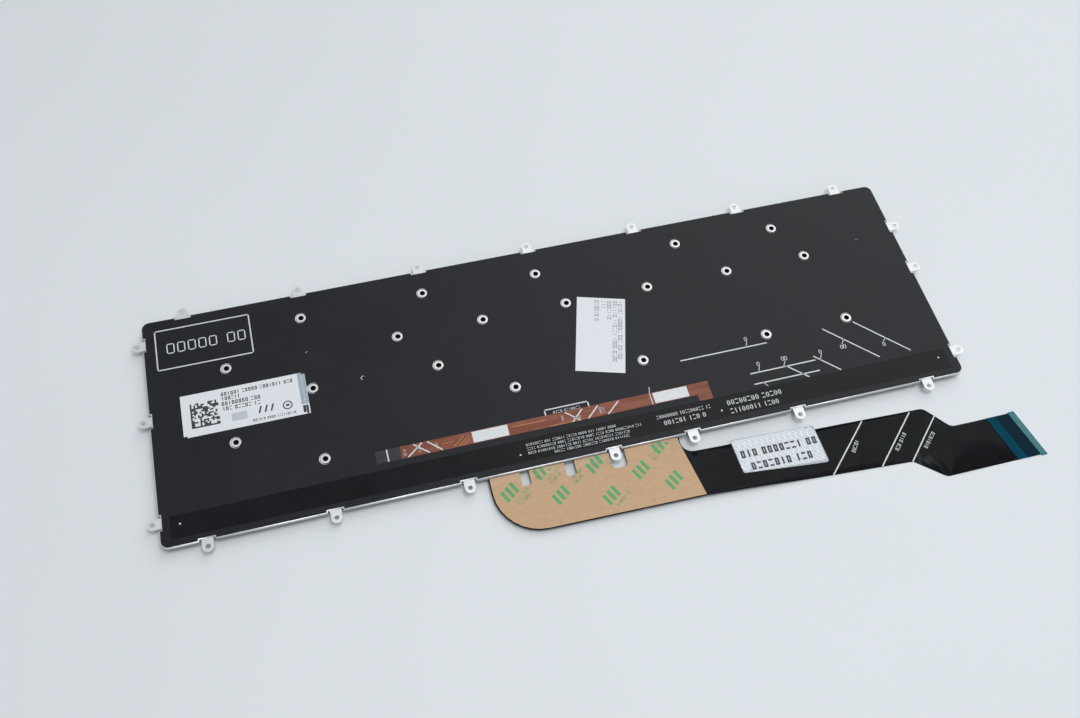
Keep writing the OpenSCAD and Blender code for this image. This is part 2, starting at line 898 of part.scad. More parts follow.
module tail_liner() {
    color("#c9aa86")
        on_tail(tail_t, liner_t)
            difference() {
                polygon(rounded([
                    [tail_x0 + liner_edge, -edge_y - liner_gap, 0],
                    [tail_x0 + liner_edge, tail_front + root_skew + liner_edge, tail_corner_r - liner_edge],
                    [run_x0, run_y0 + liner_edge, 0],
                    [tail_x1 - liner_edge, -edge_y - liner_gap, 0]
                ]));
                tail_slots();
            }
}

// Plan of a band across the end of the tail
module end_band(from, to, edge = 0) {
    y0 = step_y0 + edge;
    y1 = step_y1 - edge;
    polygon([
        [end_edge(y0) - from, y0], [end_edge(y0) - to, y0], [end_edge(y1) - to, y1], [end_edge(y1) - from, y1]
    ]);
}

module tail_stiffener() {
    color("#0b5c80")
        layer(tail_t, stiffener_t)
            end_band(stiffener_l, contact_l);
}

module tail_contacts() {
    pitch = (step_w - 1) / contact_count;
    color("gold")
        layer(tail_t, contact_t)
            for (i = [0:contact_count - 1])
                intersection() {
                    end_band(contact_l, 0.2);
                    translate([end_x - 10, step_y0 + 0.5 + pitch * (i + 0.5) - contact_w / 2])
                        square([20, contact_w]);
                }
}

module tail_sticker() {
    color("lightgray")
        on_tail(tail_t, label_t)
            polygon(rounded([for (p = sticker) [p[0], run_y1 + p[1], 1]]));
}

base_plate();
membrane_upper();
membrane_spacer();
membrane_circuit();
rubber_domes();
scissor_outer();
scissor_inner();
stabiliser_wires();
other_keys();
light_guide();
reflector();
back_film();
edge_tape();
light_strip();
lamps();
strip_pads();
part_label();
paper_label();
flex_tail();
tail_liner();
tail_stiffener();
tail_contacts();
tail_sticker();
for (k = typing_keys)
    typing_key(k);
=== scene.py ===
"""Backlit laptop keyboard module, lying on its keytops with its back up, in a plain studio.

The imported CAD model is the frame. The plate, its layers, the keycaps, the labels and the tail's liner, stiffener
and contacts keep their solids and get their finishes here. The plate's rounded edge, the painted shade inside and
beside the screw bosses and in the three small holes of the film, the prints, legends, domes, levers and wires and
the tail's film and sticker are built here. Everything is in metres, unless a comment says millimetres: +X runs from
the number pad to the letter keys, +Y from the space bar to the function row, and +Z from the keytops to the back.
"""

import math
import random

import bmesh
import bpy
from bpy.props import FloatProperty, FloatVectorProperty, IntProperty, PointerProperty
from bpy.types import Operator, Panel, PropertyGroup
from mathutils import Matrix, Vector


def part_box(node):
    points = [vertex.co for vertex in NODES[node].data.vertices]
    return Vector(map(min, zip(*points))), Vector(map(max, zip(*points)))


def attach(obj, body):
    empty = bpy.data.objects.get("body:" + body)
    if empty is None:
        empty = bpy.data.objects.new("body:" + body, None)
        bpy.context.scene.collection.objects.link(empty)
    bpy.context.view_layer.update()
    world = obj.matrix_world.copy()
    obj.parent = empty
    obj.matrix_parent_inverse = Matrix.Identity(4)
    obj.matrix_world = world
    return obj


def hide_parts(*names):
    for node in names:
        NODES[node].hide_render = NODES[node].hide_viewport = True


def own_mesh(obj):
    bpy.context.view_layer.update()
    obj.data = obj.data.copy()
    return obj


bl_info = {
    "name": "Laptop Keyboard Module",
    "version": (1, 0, 0),
    "blender": (4, 5, 0),
    "location": "View3D > Sidebar > Keyboard",
    "description": "Dresses a laptop keyboard module and sets up its studio",
    "category": "Object",
}

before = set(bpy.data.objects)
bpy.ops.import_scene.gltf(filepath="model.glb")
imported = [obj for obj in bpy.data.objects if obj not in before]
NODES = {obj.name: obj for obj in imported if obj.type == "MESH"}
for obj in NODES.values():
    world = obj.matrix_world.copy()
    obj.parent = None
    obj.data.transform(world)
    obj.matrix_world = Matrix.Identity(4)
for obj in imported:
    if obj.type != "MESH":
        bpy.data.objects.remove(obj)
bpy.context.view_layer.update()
MM = 0.001
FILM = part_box("back_film")
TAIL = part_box("flex_tail")
BACK = FILM[1].z
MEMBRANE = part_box("membrane_upper")[0].z
LEVEL = 0.001 * MM  # what lies within this height counts as level
STICKER = 0.08 * MM  # thickness of the sticker on the tail
INSET = 0.8 * MM  # least distance of a keycap from the edge of the back film
CLIP = 0.75 * MM  # depth of the clips that hold a lever's end
EASED = 0.1 * MM  # width of a lever's eased edges
DOT_STEPS = 20  # segments around a printed dot or a disc of painted shade in a small hole
BORE_STEPS = 28  # segments around a bore
GAP_STEPS = 32  # segments around the gap beside a boss


# Settings -----------------------------------------------------------------------------------------


def size(name, description, millimetres):
    """A length, written in millimetres and kept in metres."""
    return FloatProperty(name=name, description=description, default=millimetres * MM, precision=5, unit="LENGTH")


def angle(name, description, degrees):
    """An angle, written in degrees and kept in radians."""
    return FloatProperty(name=name, description=description, default=math.radians(degrees), subtype="ANGLE")


def colour(name, description, *rgb):
    return FloatVectorProperty(
        name=name, description=description, default=rgb, size=3, min=0.0, max=1.0, subtype="COLOR"
    )


class PlateSettings(PropertyGroup):
    rim: size("Rim", "How far the plate's rounded edge stands out from the film", 0.42)
    edge_height: size("Edge height", "Height of the plate's bent edge, below the film's back", 1.65)
    # The bore value below is the radius of the black tube painted as shade in a boss's hole.
    bore: size("Bore", "Radius of the dark bore in a screw boss", 1.0)
    boss: size("Boss", "Radius of a screw boss", 2.1)
    film_hole: size("Film hole", "Radius of the film's opening around a boss", 2.6)
    # The value below is the width of the painted shade band on the narrow, left side of a boss.
    gap_shade_width: size("Boss gap", "Gap between a boss and the white crescent beside it", 0.2)


class KeyGridSettings(PropertyGroup):
    key_pitch: size("Key pitch", "Distance between neighbouring keys along a row", 19.05)
    row_pitch: size("Row pitch", "Distance between neighbouring rows", 18.05)
    function_row: size("Function row", "Depth of the function row", 12.05)
    pad_pitch: size("Pad pitch", "Width of one number pad column", 17.15)
    key_gap: size("Key gap", "Gap between neighbouring keycaps", 3.2)
    arrow_gap: size("Arrow gap", "Gap between the two half-height arrow keycaps", 0.8)
    backspace: size("Backspace", "Width taken by the backspace key", 29.95)
    tab: size("Tab", "Width taken by the tab key", 28.6)
    caps: size("Caps", "Width taken by the caps lock key", 33.3)
    shift: size("Shift", "Width taken by the left shift key", 41.6)
    ctrl: size("Control", "Width taken by the left control key", 23.8)
    space: size("Space", "Width taken by the space bar", 100)
    off_middle: size("Off middle", "How far the grid sits off the middle of the plate", 0.4)


class MechanismSettings(PropertyGroup):
    lever_length: size("Lever length", "Longest lever, end to end", 9)
    lever_width: size("Lever width", "Width of the outer lever", 10.6)
    lever_thickness: size("Lever thickness", "Thickness of the levers", 0.5)
    lever_bar: size("Lever bar", "Width of a lever's bars", 0.8)
    pin_radius: size("Pin radius", "Radius of the pin that joins two levers", 0.28)
    dome_radius: size("Dome radius", "Largest radius of a dome at its foot", 2.7)
    dome_wall: size("Dome wall", "Wall thickness of a dome", 0.25)
    wire_radius: size("Wire radius", "Radius of the stabiliser wires", 0.4)
    cap_skin: size("Cap skin", "Thickness of a keycap's top", 0.9)
    cap_wall: size("Cap wall", "Thickness of a keycap's skirt", 0.8)
    play: size("Play", "Clearance around what moves in the mechanism", 0.06)
    dome_steps: IntProperty(
        name="Dome steps", description="Segments around a dome", default=20, min=8, max=48
    )


class PrintSettings(PropertyGroup):
    lift: size("Lift", "Height of the ink over the surface it is printed on", 0.012)
    line: size("Line", "Width of the white lines on the film", 0.55)
    fine_line: size("Fine line", "Width of the thin lines", 0.3)
    dot: size("Dot", "Radius of the white dots on the edge tape", 0.4)
    legend: size("Legend", "Height of a key's legend", 4.2)
    small_legend: size("Small legend", "Height of the legend of a wide or small key", 2.3)


class TailSettings(PropertyGroup):
    film: size("Film", "Thickness of the tail's flexible circuit", 0.12)
    liner: size("Liner", "Thickness of the tape liner", 0.1)
    wave: size("Wave", "Height of the soft waves in the tail's run", 0.28)
    wave_length: size("Wave length", "Distance between two waves", 47)
    fall: size("Fall", "Length over which the run comes down to the table", 68)
    bend: size("Bend", "Length of the bend where the tail leaves the plate", 7.4)
    lift: size("Lift", "Height of the tail's root above the table", 2)


class FinishSettings(PropertyGroup):
    steel: colour("Steel", "The plate, its tabs and bosses", 0.61, 0.62, 0.63)
    film: colour("Film", "The black film on the back", 0.0090, 0.0095, 0.0122)
    tape: colour("Tape", "The glossy tape along the front edge", 0.0050, 0.0053, 0.0070)
    strip: colour("Strip", "The light strip's film", 0.180, 0.052, 0.029)
    copper: colour("Copper", "The light strip's wider tracks", 0.235, 0.078, 0.046)
    ochre: colour("Ochre", "The light strip's bare tracks", 0.42, 0.17, 0.045)
    white_ink: colour("White ink", "Lines and marks printed on the film", 0.62, 0.66, 0.68)
    paper: colour("Paper", "Labels", 0.71, 0.74, 0.78)
    grey_ink: colour("Grey ink", "The bands printed on the part label", 0.33, 0.40, 0.46)
    black_ink: colour("Black ink", "Dark fields printed on the labels", 0.02, 0.02, 0.025)
    tail: colour("Tail", "The tail's printed film", 0.0052, 0.0057, 0.0070)
    liner: colour("Liner", "The tan tape liner", 0.52, 0.347, 0.205)
    green_ink: colour("Green ink", "Marks printed on the liner", 0.065, 0.33, 0.105)
    stiffener: colour("Stiffener", "The blue film at the tail's end", 0.0008, 0.046, 0.082)
    contact: colour("Contact", "The plated contacts", 0.05, 0.13, 0.155)
    sticker: colour("Sticker", "The silver sticker on the tail", 0.545, 0.585, 0.625)
    keycap: colour("Keycap", "The black keycaps", 0.018, 0.0185, 0.021)
    lever: colour("Lever", "The white levers", 0.74, 0.74, 0.72)
    dome: colour("Dome", "The rubber domes", 0.70, 0.70, 0.67)


class StageSettings(PropertyGroup):
    camera_x: size("Camera X", "Camera position along X", -78.304)
    camera_y: size("Camera Y", "Camera position along Y", -226.483)
    camera_z: size("Camera Z", "Camera height", 410.158)
    pitch: angle("Pitch", "Tilt of the camera up from straight down", 29.9587)
    heading: angle("Heading", "Turn of the view about the upright axis", -17.748)
    roll: angle("Roll", "Turn of the picture about the view", 3.8257)
    focal: FloatProperty(
        name="Focal length", description="Focal length on a 36 mm wide sensor", default=35.993, unit="CAMERA"
    )
    floor: colour("Floor", "The pale table", 0.715, 0.757, 0.785)
    horizon: colour("Horizon", "The table and the backdrop far from the part", 0.68, 0.725, 0.755)
    fade_from: size("Fade from", "Distance at which the table starts to fade to the horizon", 450)
    fade_to: size("Fade to", "Distance at which it has faded", 1500)


def settings(group):
    return getattr(bpy.context.scene, "keyboard_" + group)


# Meshes and pieces --------------------------------------------------------------------------------


def new_piece(name, mesh_data, material, body="base"):
    """Makes a piece from a bmesh and lets it ride on a body of the frame."""
    mesh = bpy.data.meshes.new(name)
    mesh_data.to_mesh(mesh)
    mesh_data.free()
    mesh.materials.append(material)
    piece = bpy.data.objects.new(name, mesh)
    bpy.context.scene.collection.objects.link(piece)
    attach(piece, body)
    return piece


def finish_node(node, material):
    """Gives a node of the frame its material."""
    mesh = NODES[node].data
    mesh.materials.clear()
    mesh.materials.append(material)


def rolled(loop):
    """A closed loop, started at its second point."""
    return loop[1:] + loop[:1]


def rectangle(x0, y0, x1, y1):
    return [(x0, y0), (x1, y0), (x1, y1), (x0, y1)]


def around(centre, radius, steps):
    """Points around a circle, anticlockwise."""
    turns = [2 * math.pi * i / steps for i in range(steps)]
    return [(centre[0] + radius * math.cos(a), centre[1] + radius * math.sin(a)) for a in turns]


def add_face(mesh, points, z):
    """A flat face, facing up, through points that run anticlockwise."""
    mesh.faces.new([mesh.verts.new((x, y, z)) for x, y in points])


def add_stroke(mesh, start, end, width, z):
    """A straight printed line."""
    start, end = Vector(start), Vector(end)
    along = (end - start).normalized() * width / 2
    across = Vector((-along.y, along.x))
    corners = (start - along - across, end + along - across, end + along + across, start - along + across)
    add_face(mesh, [c[:2] for c in corners], z)


def add_outline(mesh, corners, width, z):
    """A closed line through corners."""
    for start, end in zip(corners, rolled(corners)):
        add_stroke(mesh, start, end, width, z)


def add_band(mesh, inner, outer, z):
    """A flat band between two closed loops that have as many points."""
    for corners in zip(inner, outer, rolled(outer), rolled(inner)):
        add_face(mesh, corners, z)


def add_ring(mesh, centre, radius, width, z, steps=24):
    """A printed ring."""
    add_band(mesh, around(centre, radius - width / 2, steps), around(centre, radius + width / 2, steps), z)


def add_print(mesh, x0, x1, y, height, z, seed, weight=0.16):
    """A row of small open boxes, bars and rungs in groups, like a line of print."""
    rng = random.Random(seed)
    line, cell = height * weight, height * 0.56
    x = x0
    left = rng.randint(3, 8)
    while x + cell <= x1:
        if not left:
            left = rng.randint(3, 9)
            x += height * 0.5
            continue
        west, east, south, north = x + line / 2, x + cell - line / 2, y + line / 2, y + height - line / 2
        shape = rng.choice(("box", "box", "bar", "rungs"))
        if shape == "box":
            add_outline(mesh, rectangle(west, south, east, north), line, z)
        elif shape == "bar":
            add_stroke(mesh, (x + cell / 2, south), (x + cell / 2, north), line, z)
        else:
            add_stroke(mesh, (west, south), (east, south), line, z)
            add_stroke(mesh, (west, north), (east, north), line, z)
        left -= 1
        x += cell + height * 0.24


def add_turned_print(mesh, start, end, height, z, seed):
    """A row of print from one point to another."""
    first = len(mesh.verts)
    start, end = Vector(start), Vector(end)
    along = end - start
    add_print(mesh, 0, along.length, 0, height, z, seed)
    place = Matrix.Translation((*start, 0)) @ Matrix.Rotation(math.atan2(along.y, along.x), 4, "Z")
    bmesh.ops.transform(mesh, matrix=place, verts=mesh.verts[first:])


class Ink:
    """Flat marks in one mesh. Places and heights of print are in millimetres, widths and levels in metres."""

    def __init__(self, z=0.0):
        self.mesh = bmesh.new()
        self.z = z

    def strokes(self, width, *lines, up=0.0):
        """Straight lines, each given by its start and end."""
        for xa, ya, xb, yb in lines:
            add_stroke(self.mesh, (xa * MM, ya * MM), (xb * MM, yb * MM), width, self.z + up)

    def fields(self, *fields, up=0.0):
        """Filled rectangles, each given by two corners."""
        for field in fields:
            add_face(self.mesh, rectangle(*(side * MM for side in field)), self.z + up)

    def frames(self, width, *frames):
        """Rectangles drawn as lines, each given by two corners."""
        for sides in frames:
            add_outline(self.mesh, rectangle(*(side * MM for side in sides)), width, self.z)

    def rows(self, rows, seed, weight=0.16):
        """Rows of print along X, each given by its two ends, its foot and its height."""
        for i, (x0, x1, y, height) in enumerate(rows):
            add_print(self.mesh, x0 * MM, x1 * MM, y * MM, height * MM, self.z, seed + i, weight)

    def turned_rows(self, rows, height, seed):
        """Rows of print in any direction, each given by its start and end."""
        for i, (xa, ya, xb, yb) in enumerate(rows):
            add_turned_print(self.mesh, (xa * MM, ya * MM), (xb * MM, yb * MM), height * MM, self.z, seed + i)

    def drape(self, lift):
        """Lays the marks over the tail."""
        for vert in self.mesh.verts:
            vert.co.z = tail_height(vert.co.x, vert.co.y) + lift

    def finish(self, name, material):
        new_piece(name, self.mesh, material)


def add_block(mesh, centre, half, turn=Matrix.Identity(4)):
    """A box with given half sizes about a centre, turned by a matrix."""
    made = bmesh.ops.create_cube(mesh, size=2.0)["verts"]
    place = Matrix.Translation(centre) @ turn @ Matrix.Diagonal((*half, 1.0))
    bmesh.ops.transform(mesh, matrix=place, verts=made)
    return made


def add_rod(mesh, start, end, radius, steps=14):
    """A round rod between two points."""
    start, end = Vector(start), Vector(end)
    along = end - start
    turn = along.to_track_quat("Z", "Y").to_matrix().to_4x4()
    bmesh.ops.create_cone(
        mesh, cap_ends=True, segments=steps, radius1=radius, radius2=radius, depth=along.length,
        matrix=Matrix.Translation((start + end) / 2) @ turn,
    )


def add_lathe(mesh, centre, profile, steps):
    """Turns a profile of (radius, height) points about an upright axis."""
    rings = []
    for radius, height in profile:
        spots = around(centre, radius, steps if radius > 0 else 1)
        rings.append([mesh.verts.new((x, y, height)) for x, y in spots])
    for lower, upper in zip(rings, rings[1:]):
        for i in range(steps):
            spots = [ring[at % len(ring)] for ring, at in ((lower, i), (lower, i + 1), (upper, i + 1), (upper, i))]
            corners = list(dict.fromkeys(spots))
            if len(corners) > 2:
                mesh.faces.new(corners).smooth = True


def top_loops(node):
    """The edges of a node's flat top: the outside anticlockwise, each hole clockwise."""
    data = NODES[node].data
    place = NODES[node].matrix_world
    spots = [place @ v.co for v in data.vertices]
    height = max(spot.z for spot in spots) - LEVEL
    sides = {}
    for face in data.polygons:
        corners = [spots[i] for i in face.vertices]
        if face.normal.z > 0.9 and min(c.z for c in corners) > height:
            keys = [(round(c.x, 7), round(c.y, 7)) for c in corners]
            sides.update(dict.fromkeys(zip(keys, rolled(keys))))
    follow = {a: b for a, b in sides if (b, a) not in sides}
    loops = []
    while follow:
        start, at = follow.popitem()
        loop = [start]
        while at != start:
            loop.append(at)
            at = follow.pop(at)
        loops.append([Vector(point) for point in loop])
    return loops


def loop_span(loop):
    """Width of a loop, and its middle."""
    low, high = min(p.x for p in loop), max(p.x for p in loop)
    front, back = min(p.y for p in loop), max(p.y for p in loop)
    return high - low, ((low + high) / 2, (front + back) / 2)


def sweep_round(mesh, loop, profile):
    """Sweeps a profile of (distance outside the loop, height) around a closed loop."""

    def with_directions(points):
        """Each point, with the directions in which the loop reaches and leaves it."""
        for before, at, after in zip(points[-1:] + points[:-1], points, rolled(points)):
            yield at, (at - before).normalized(), (after - at).normalized()

    corners = [at for at, first, second in with_directions(loop) if abs(first.cross(second)) > 1e-4]
    rings = []
    for at, first, second in with_directions(corners):
        out = Vector((first.y + second.y, -first.x - second.x)) / (1 + first.dot(second))
        rings.append([mesh.verts.new((at.x + d * out.x, at.y + d * out.y, z)) for d, z in profile])
    for ring, other in zip(rings, rolled(rings)):
        for i in range(len(profile) - 1):
            mesh.faces.new((ring[i], ring[i + 1], other[i + 1], other[i])).smooth = True


# Materials ----------------------------------------------------------------------------------------


class Paint:
    """A material under construction: its shader holds the plain values, and its methods add the detail."""

    def __init__(self, name, base, roughness, metallic=0.0, **sockets):
        self.material = bpy.data.materials.new(name)
        self.material.use_nodes = True
        self.tree = self.material.node_tree
        self.shader = self.tree.nodes["Principled BSDF"]
        self.shader.inputs["Base Color"].default_value = (*base, 1.0)
        self.shader.inputs["Roughness"].default_value = roughness
        self.shader.inputs["Metallic"].default_value = metallic
        for socket, value in sockets.items():
            self.shader.inputs[socket.replace("_", " ")].default_value = value
        self.material.diffuse_color = (*base, 1.0)
        self.base = base
        self.roughness = roughness
        self.place = self.add("ShaderNodeTexCoord").outputs["Object"]

    def add(self, kind, **values):
        node = self.tree.nodes.new(kind)
        for name, value in values.items():
            setattr(node, name, value)
        return node

    def link(self, out, into):
        self.tree.links.new(out, into)

    def stretched(self, scale):
        """Object coordinates, stretched along the axes."""
        mapping = self.add("ShaderNodeMapping")
        mapping.inputs["Scale"].default_value = scale
        self.link(self.place, mapping.inputs["Vector"])
        return mapping.outputs["Vector"]

    def noise(self, feature, detail=3.0, stretch=(1.0, 1.0, 1.0), roughness=0.55):
        """Noise whose features are about as large as given, in metres."""
        node = self.add("ShaderNodeTexNoise")
        node.inputs["Scale"].default_value = 1.0 / feature
        node.inputs["Detail"].default_value = detail
        node.inputs["Roughness"].default_value = roughness
        self.link(self.stretched(stretch), node.inputs["Vector"])
        return node.outputs["Fac"]

    def stripes(self, width, axis="Y", wobble=0.0):
        """Parallel stripes, each pair as wide as given, in metres."""
        node = self.add("ShaderNodeTexWave", wave_type="BANDS", bands_direction=axis)
        node.inputs["Scale"].default_value = math.pi / (10.0 * width)
        node.inputs["Distortion"].default_value = wobble
        self.link(self.place, node.inputs["Vector"])
        return node.outputs["Fac"]

    def ramp(self, factor, low, high, start=0.3, end=0.7):
        """Maps a factor from one value or colour to another."""
        node = self.add("ShaderNodeValToRGB")
        stops = node.color_ramp.elements
        for stop, position, value in ((stops[0], start, low), (stops[1], end, high)):
            stop.position = position
            stop.color = (*value, 1.0) if isinstance(value, tuple) else (value, value, value, 1.0)
        self.link(factor, node.inputs["Fac"])
        return node.outputs["Color"]

    def shade(self, factor, low, high, start=0.3, end=0.7):
        """Varies the base colour between two multiples of itself."""
        tones = [tuple(min(c * k, 1.0) for c in self.base) for k in (low, high)]
        self.link(self.ramp(factor, *tones, start, end), self.shader.inputs["Base Color"])
        return self

    def tint(self, factor, other, start=0.3, end=0.7):
        """Varies the base colour towards another one."""
        self.link(self.ramp(factor, tuple(self.base), tuple(other), start, end), self.shader.inputs["Base Color"])
        return self

    def smudge(self, factor, spread):
        """Varies the roughness about its plain value."""
        rough = self.ramp(factor, self.roughness - spread, self.roughness + spread)
        self.link(rough, self.shader.inputs["Roughness"])
        return self

    def relief(self, factor, depth, strength=1.0):
        """Bumps the surface by a depth in metres."""
        node = self.add("ShaderNodeBump")
        node.inputs["Distance"].default_value = depth
        node.inputs["Strength"].default_value = strength
        self.link(factor, node.inputs["Height"])
        if self.shader.inputs["Normal"].links:
            self.link(self.shader.inputs["Normal"].links[0].from_socket, node.inputs["Normal"])
        self.link(node.outputs["Normal"], self.shader.inputs["Normal"])
        return self


def rolled_steel(name="rolled_steel"):
    """Bright rolled sheet, with fine lines along the plate."""
    paint = Paint(name, settings("finish").steel, 0.36, metallic=0.45)
    lines = paint.noise(0.0004, 4.0, (0.06, 1.0, 1.0))
    return paint.shade(lines, 0.9, 1.06).smudge(paint.noise(0.006), 0.07).relief(lines, 0.000006).material


def black_film():
    """Satin polyester film: a fine grain, faint handling marks and a slightly uneven surface."""
    paint = Paint("black_film", settings("finish").film, 0.4, Specular_IOR_Level=0.17)
    marks = paint.noise(0.028, 5.0, roughness=0.62)
    grain = paint.noise(0.00012, 2.0)
    waves = paint.noise(0.045, 1.0)
    paint.shade(marks, 0.86, 1.2).smudge(marks, 0.05)
    return paint.relief(waves, 0.00022, 0.5).relief(grain, 0.000004).material


def glossy_tape():
    paint = Paint("glossy_tape", settings("finish").tape, 0.22, Specular_IOR_Level=0.13)
    paint.shade(paint.noise(0.02), 0.8, 1.3).smudge(paint.noise(0.008), 0.05)
    return paint.relief(paint.noise(0.012), 0.00004, 0.5).material


def strip_film():
    """Orange-brown flexible circuit with copper tracks showing through."""
    paint = Paint("strip_film", settings("finish").strip, 0.34, Specular_IOR_Level=0.24)
    tracks = paint.noise(0.0022, 2.0, (0.16, 1.0, 1.0))
    paint.tint(tracks, settings("finish").copper, 0.44, 0.56)
    return paint.smudge(paint.noise(0.004), 0.06).relief(tracks, 0.00002, 0.6).material


def mottled(name, rgb, roughness, tones, spread, **sockets):
    """A plain surface that varies a little in tone (feature, low, high) and in roughness (feature, amount)."""
    paint = Paint(name, rgb, roughness, **sockets)
    paint.shade(paint.noise(tones[0]), *tones[1:])
    return paint.smudge(paint.noise(spread[0]), spread[1]).material


def plain_ink(name, rgb, roughness=0.5, **sockets):
    """Printed ink with a slightly uneven cover."""
    return mottled(name, rgb, roughness, (0.0008, 0.88, 1.05), (0.002, 0.05), **sockets)


def coated_paper(name, rgb, roughness=0.45):
    paint = Paint(name, rgb, roughness)
    fibres = paint.noise(0.0007, 4.0)
    return paint.shade(fibres, 0.965, 1.02).smudge(paint.noise(0.006), 0.05).relief(fibres, 0.000012, 0.6).material


def tape_liner():
    """Waxed tan paper with short fibres."""
    paint = Paint("tape_liner", settings("finish").liner, 0.4, Specular_IOR_Level=0.25)
    fibres = paint.noise(0.0012, 5.0, (0.4, 1.0, 1.0))
    return paint.shade(fibres, 0.93, 1.04).smudge(paint.noise(0.01), 0.07).relief(fibres, 0.00002, 0.6).material


def tail_film():
    """Glossy black print over a flexible circuit, with its tracks faintly raised."""
    paint = Paint("tail_film", settings("finish").tail, 0.3, Specular_IOR_Level=0.07)
    tracks = paint.stripes(0.0007)
    paint.shade(paint.noise(0.012, 3.0), 0.8, 1.5).smudge(paint.noise(0.006), 0.05)
    return paint.relief(tracks, 0.000012, 0.5).relief(paint.noise(0.02), 0.00008, 0.5).material


def blue_film():
    blue = settings("finish").stiffener
    return mottled("blue_film", blue, 0.28, (0.003, 0.85, 1.2), (0.002, 0.05), Specular_IOR_Level=0.025)


def plated_contact():
    paint = Paint("plated_contact", settings("finish").contact, 0.32, metallic=0.4)
    return paint.shade(paint.noise(0.0006), 0.8, 1.25).material


def silver_sticker():
    """Silver-grey film with a faint woven hatch."""
    paint = Paint("silver_sticker", settings("finish").sticker, 0.36, metallic=0.15)
    hatch = paint.stripes(0.0011, "DIAGONAL", 0.6)
    return paint.shade(hatch, 0.9, 1.06).smudge(paint.noise(0.004), 0.06).relief(hatch, 0.00001, 0.5).material


def keycap_plastic():
    """Moulded black plastic with a fine spark-eroded grain."""
    paint = Paint("keycap_plastic", settings("finish").keycap, 0.5)
    grain = paint.noise(0.00018, 2.0)
    return paint.shade(paint.noise(0.004), 0.92, 1.12).smudge(grain, 0.05).relief(grain, 0.000012, 0.7).material


def lever_plastic():
    return mottled("lever_plastic", settings("finish").lever, 0.38, (0.003, 0.94, 1.03), (0.001, 0.05))


def dome_rubber():
    paint = Paint("dome_rubber", settings("finish").dome, 0.55, Subsurface_Weight=0.25)
    paint.shader.inputs["Subsurface Radius"].default_value = (0.001, 0.001, 0.0009)
    return paint.shade(paint.noise(0.002), 0.93, 1.04).relief(paint.noise(0.0003), 0.00001, 0.5).material


def frosted_guide():
    """Clear sheet with a frosted face."""
    clear = (0.9, 0.93, 0.95)
    return mottled("frosted_guide", clear, 0.3, (0.002, 0.96, 1.03), (0.0005, 0.06), Transmission_Weight=0.1)


def white_reflector():
    return mottled("white_reflector", (0.86, 0.87, 0.88), 0.42, (0.003, 0.96, 1.03), (0.001, 0.05))


def membrane_sheet(name, rgb):
    """Printed polyester sheet, with its silver tracks in shallow relief."""
    paint = Paint(name, rgb, 0.35)
    tracks = paint.noise(0.0009, 1.0, (0.12, 1.0, 1.0))
    return paint.shade(tracks, 0.9, 1.35, 0.5, 0.56).smudge(paint.noise(0.005), 0.05).material


def lamp_plastic():
    paint = Paint("lamp_plastic", (0.85, 0.80, 0.55), 0.3)
    return paint.shade(paint.noise(0.0006), 0.9, 1.05).material


def background_rays(tree):
    """1 for the rays that see the background: the camera's own, and those by gloss or through clear parts."""
    rays = tree.nodes.new("ShaderNodeLightPath").outputs
    seen = rays["Is Camera Ray"]
    for name in ("Is Glossy Ray", "Is Transmission Ray"):
        either = tree.nodes.new("ShaderNodeMath")
        either.operation = "ADD"
        either.use_clamp = True
        tree.links.new(seen, either.inputs[0])
        tree.links.new(rays[name], either.inputs[1])
        seen = either.outputs["Value"]
    return seen


# Key places ---------------------------------------------------------------------------------------


class Key:
    """A key's place and keycap, seen from the back, in metres."""

    def __init__(self, name, legend, x0, x1, y0, y1):
        grid = settings("grid")
        self.name = name
        self.legend = legend
        self.x0 = max(x0 + grid.key_gap / 2, FILM[0].x + INSET)
        self.x1 = min(x1 - grid.key_gap / 2, FILM[1].x - INSET)
        self.y0 = y0 + grid.key_gap / 2
        self.y1 = y1 - grid.key_gap / 2
        self.width = self.x1 - self.x0
        self.depth = self.y1 - self.y0
        self.x = (self.x0 + self.x1) / 2
        self.y = (self.y0 + self.y1) / 2

    @property
    def body(self):
        return "key_" + self.name + "_body" if self.name else "base"


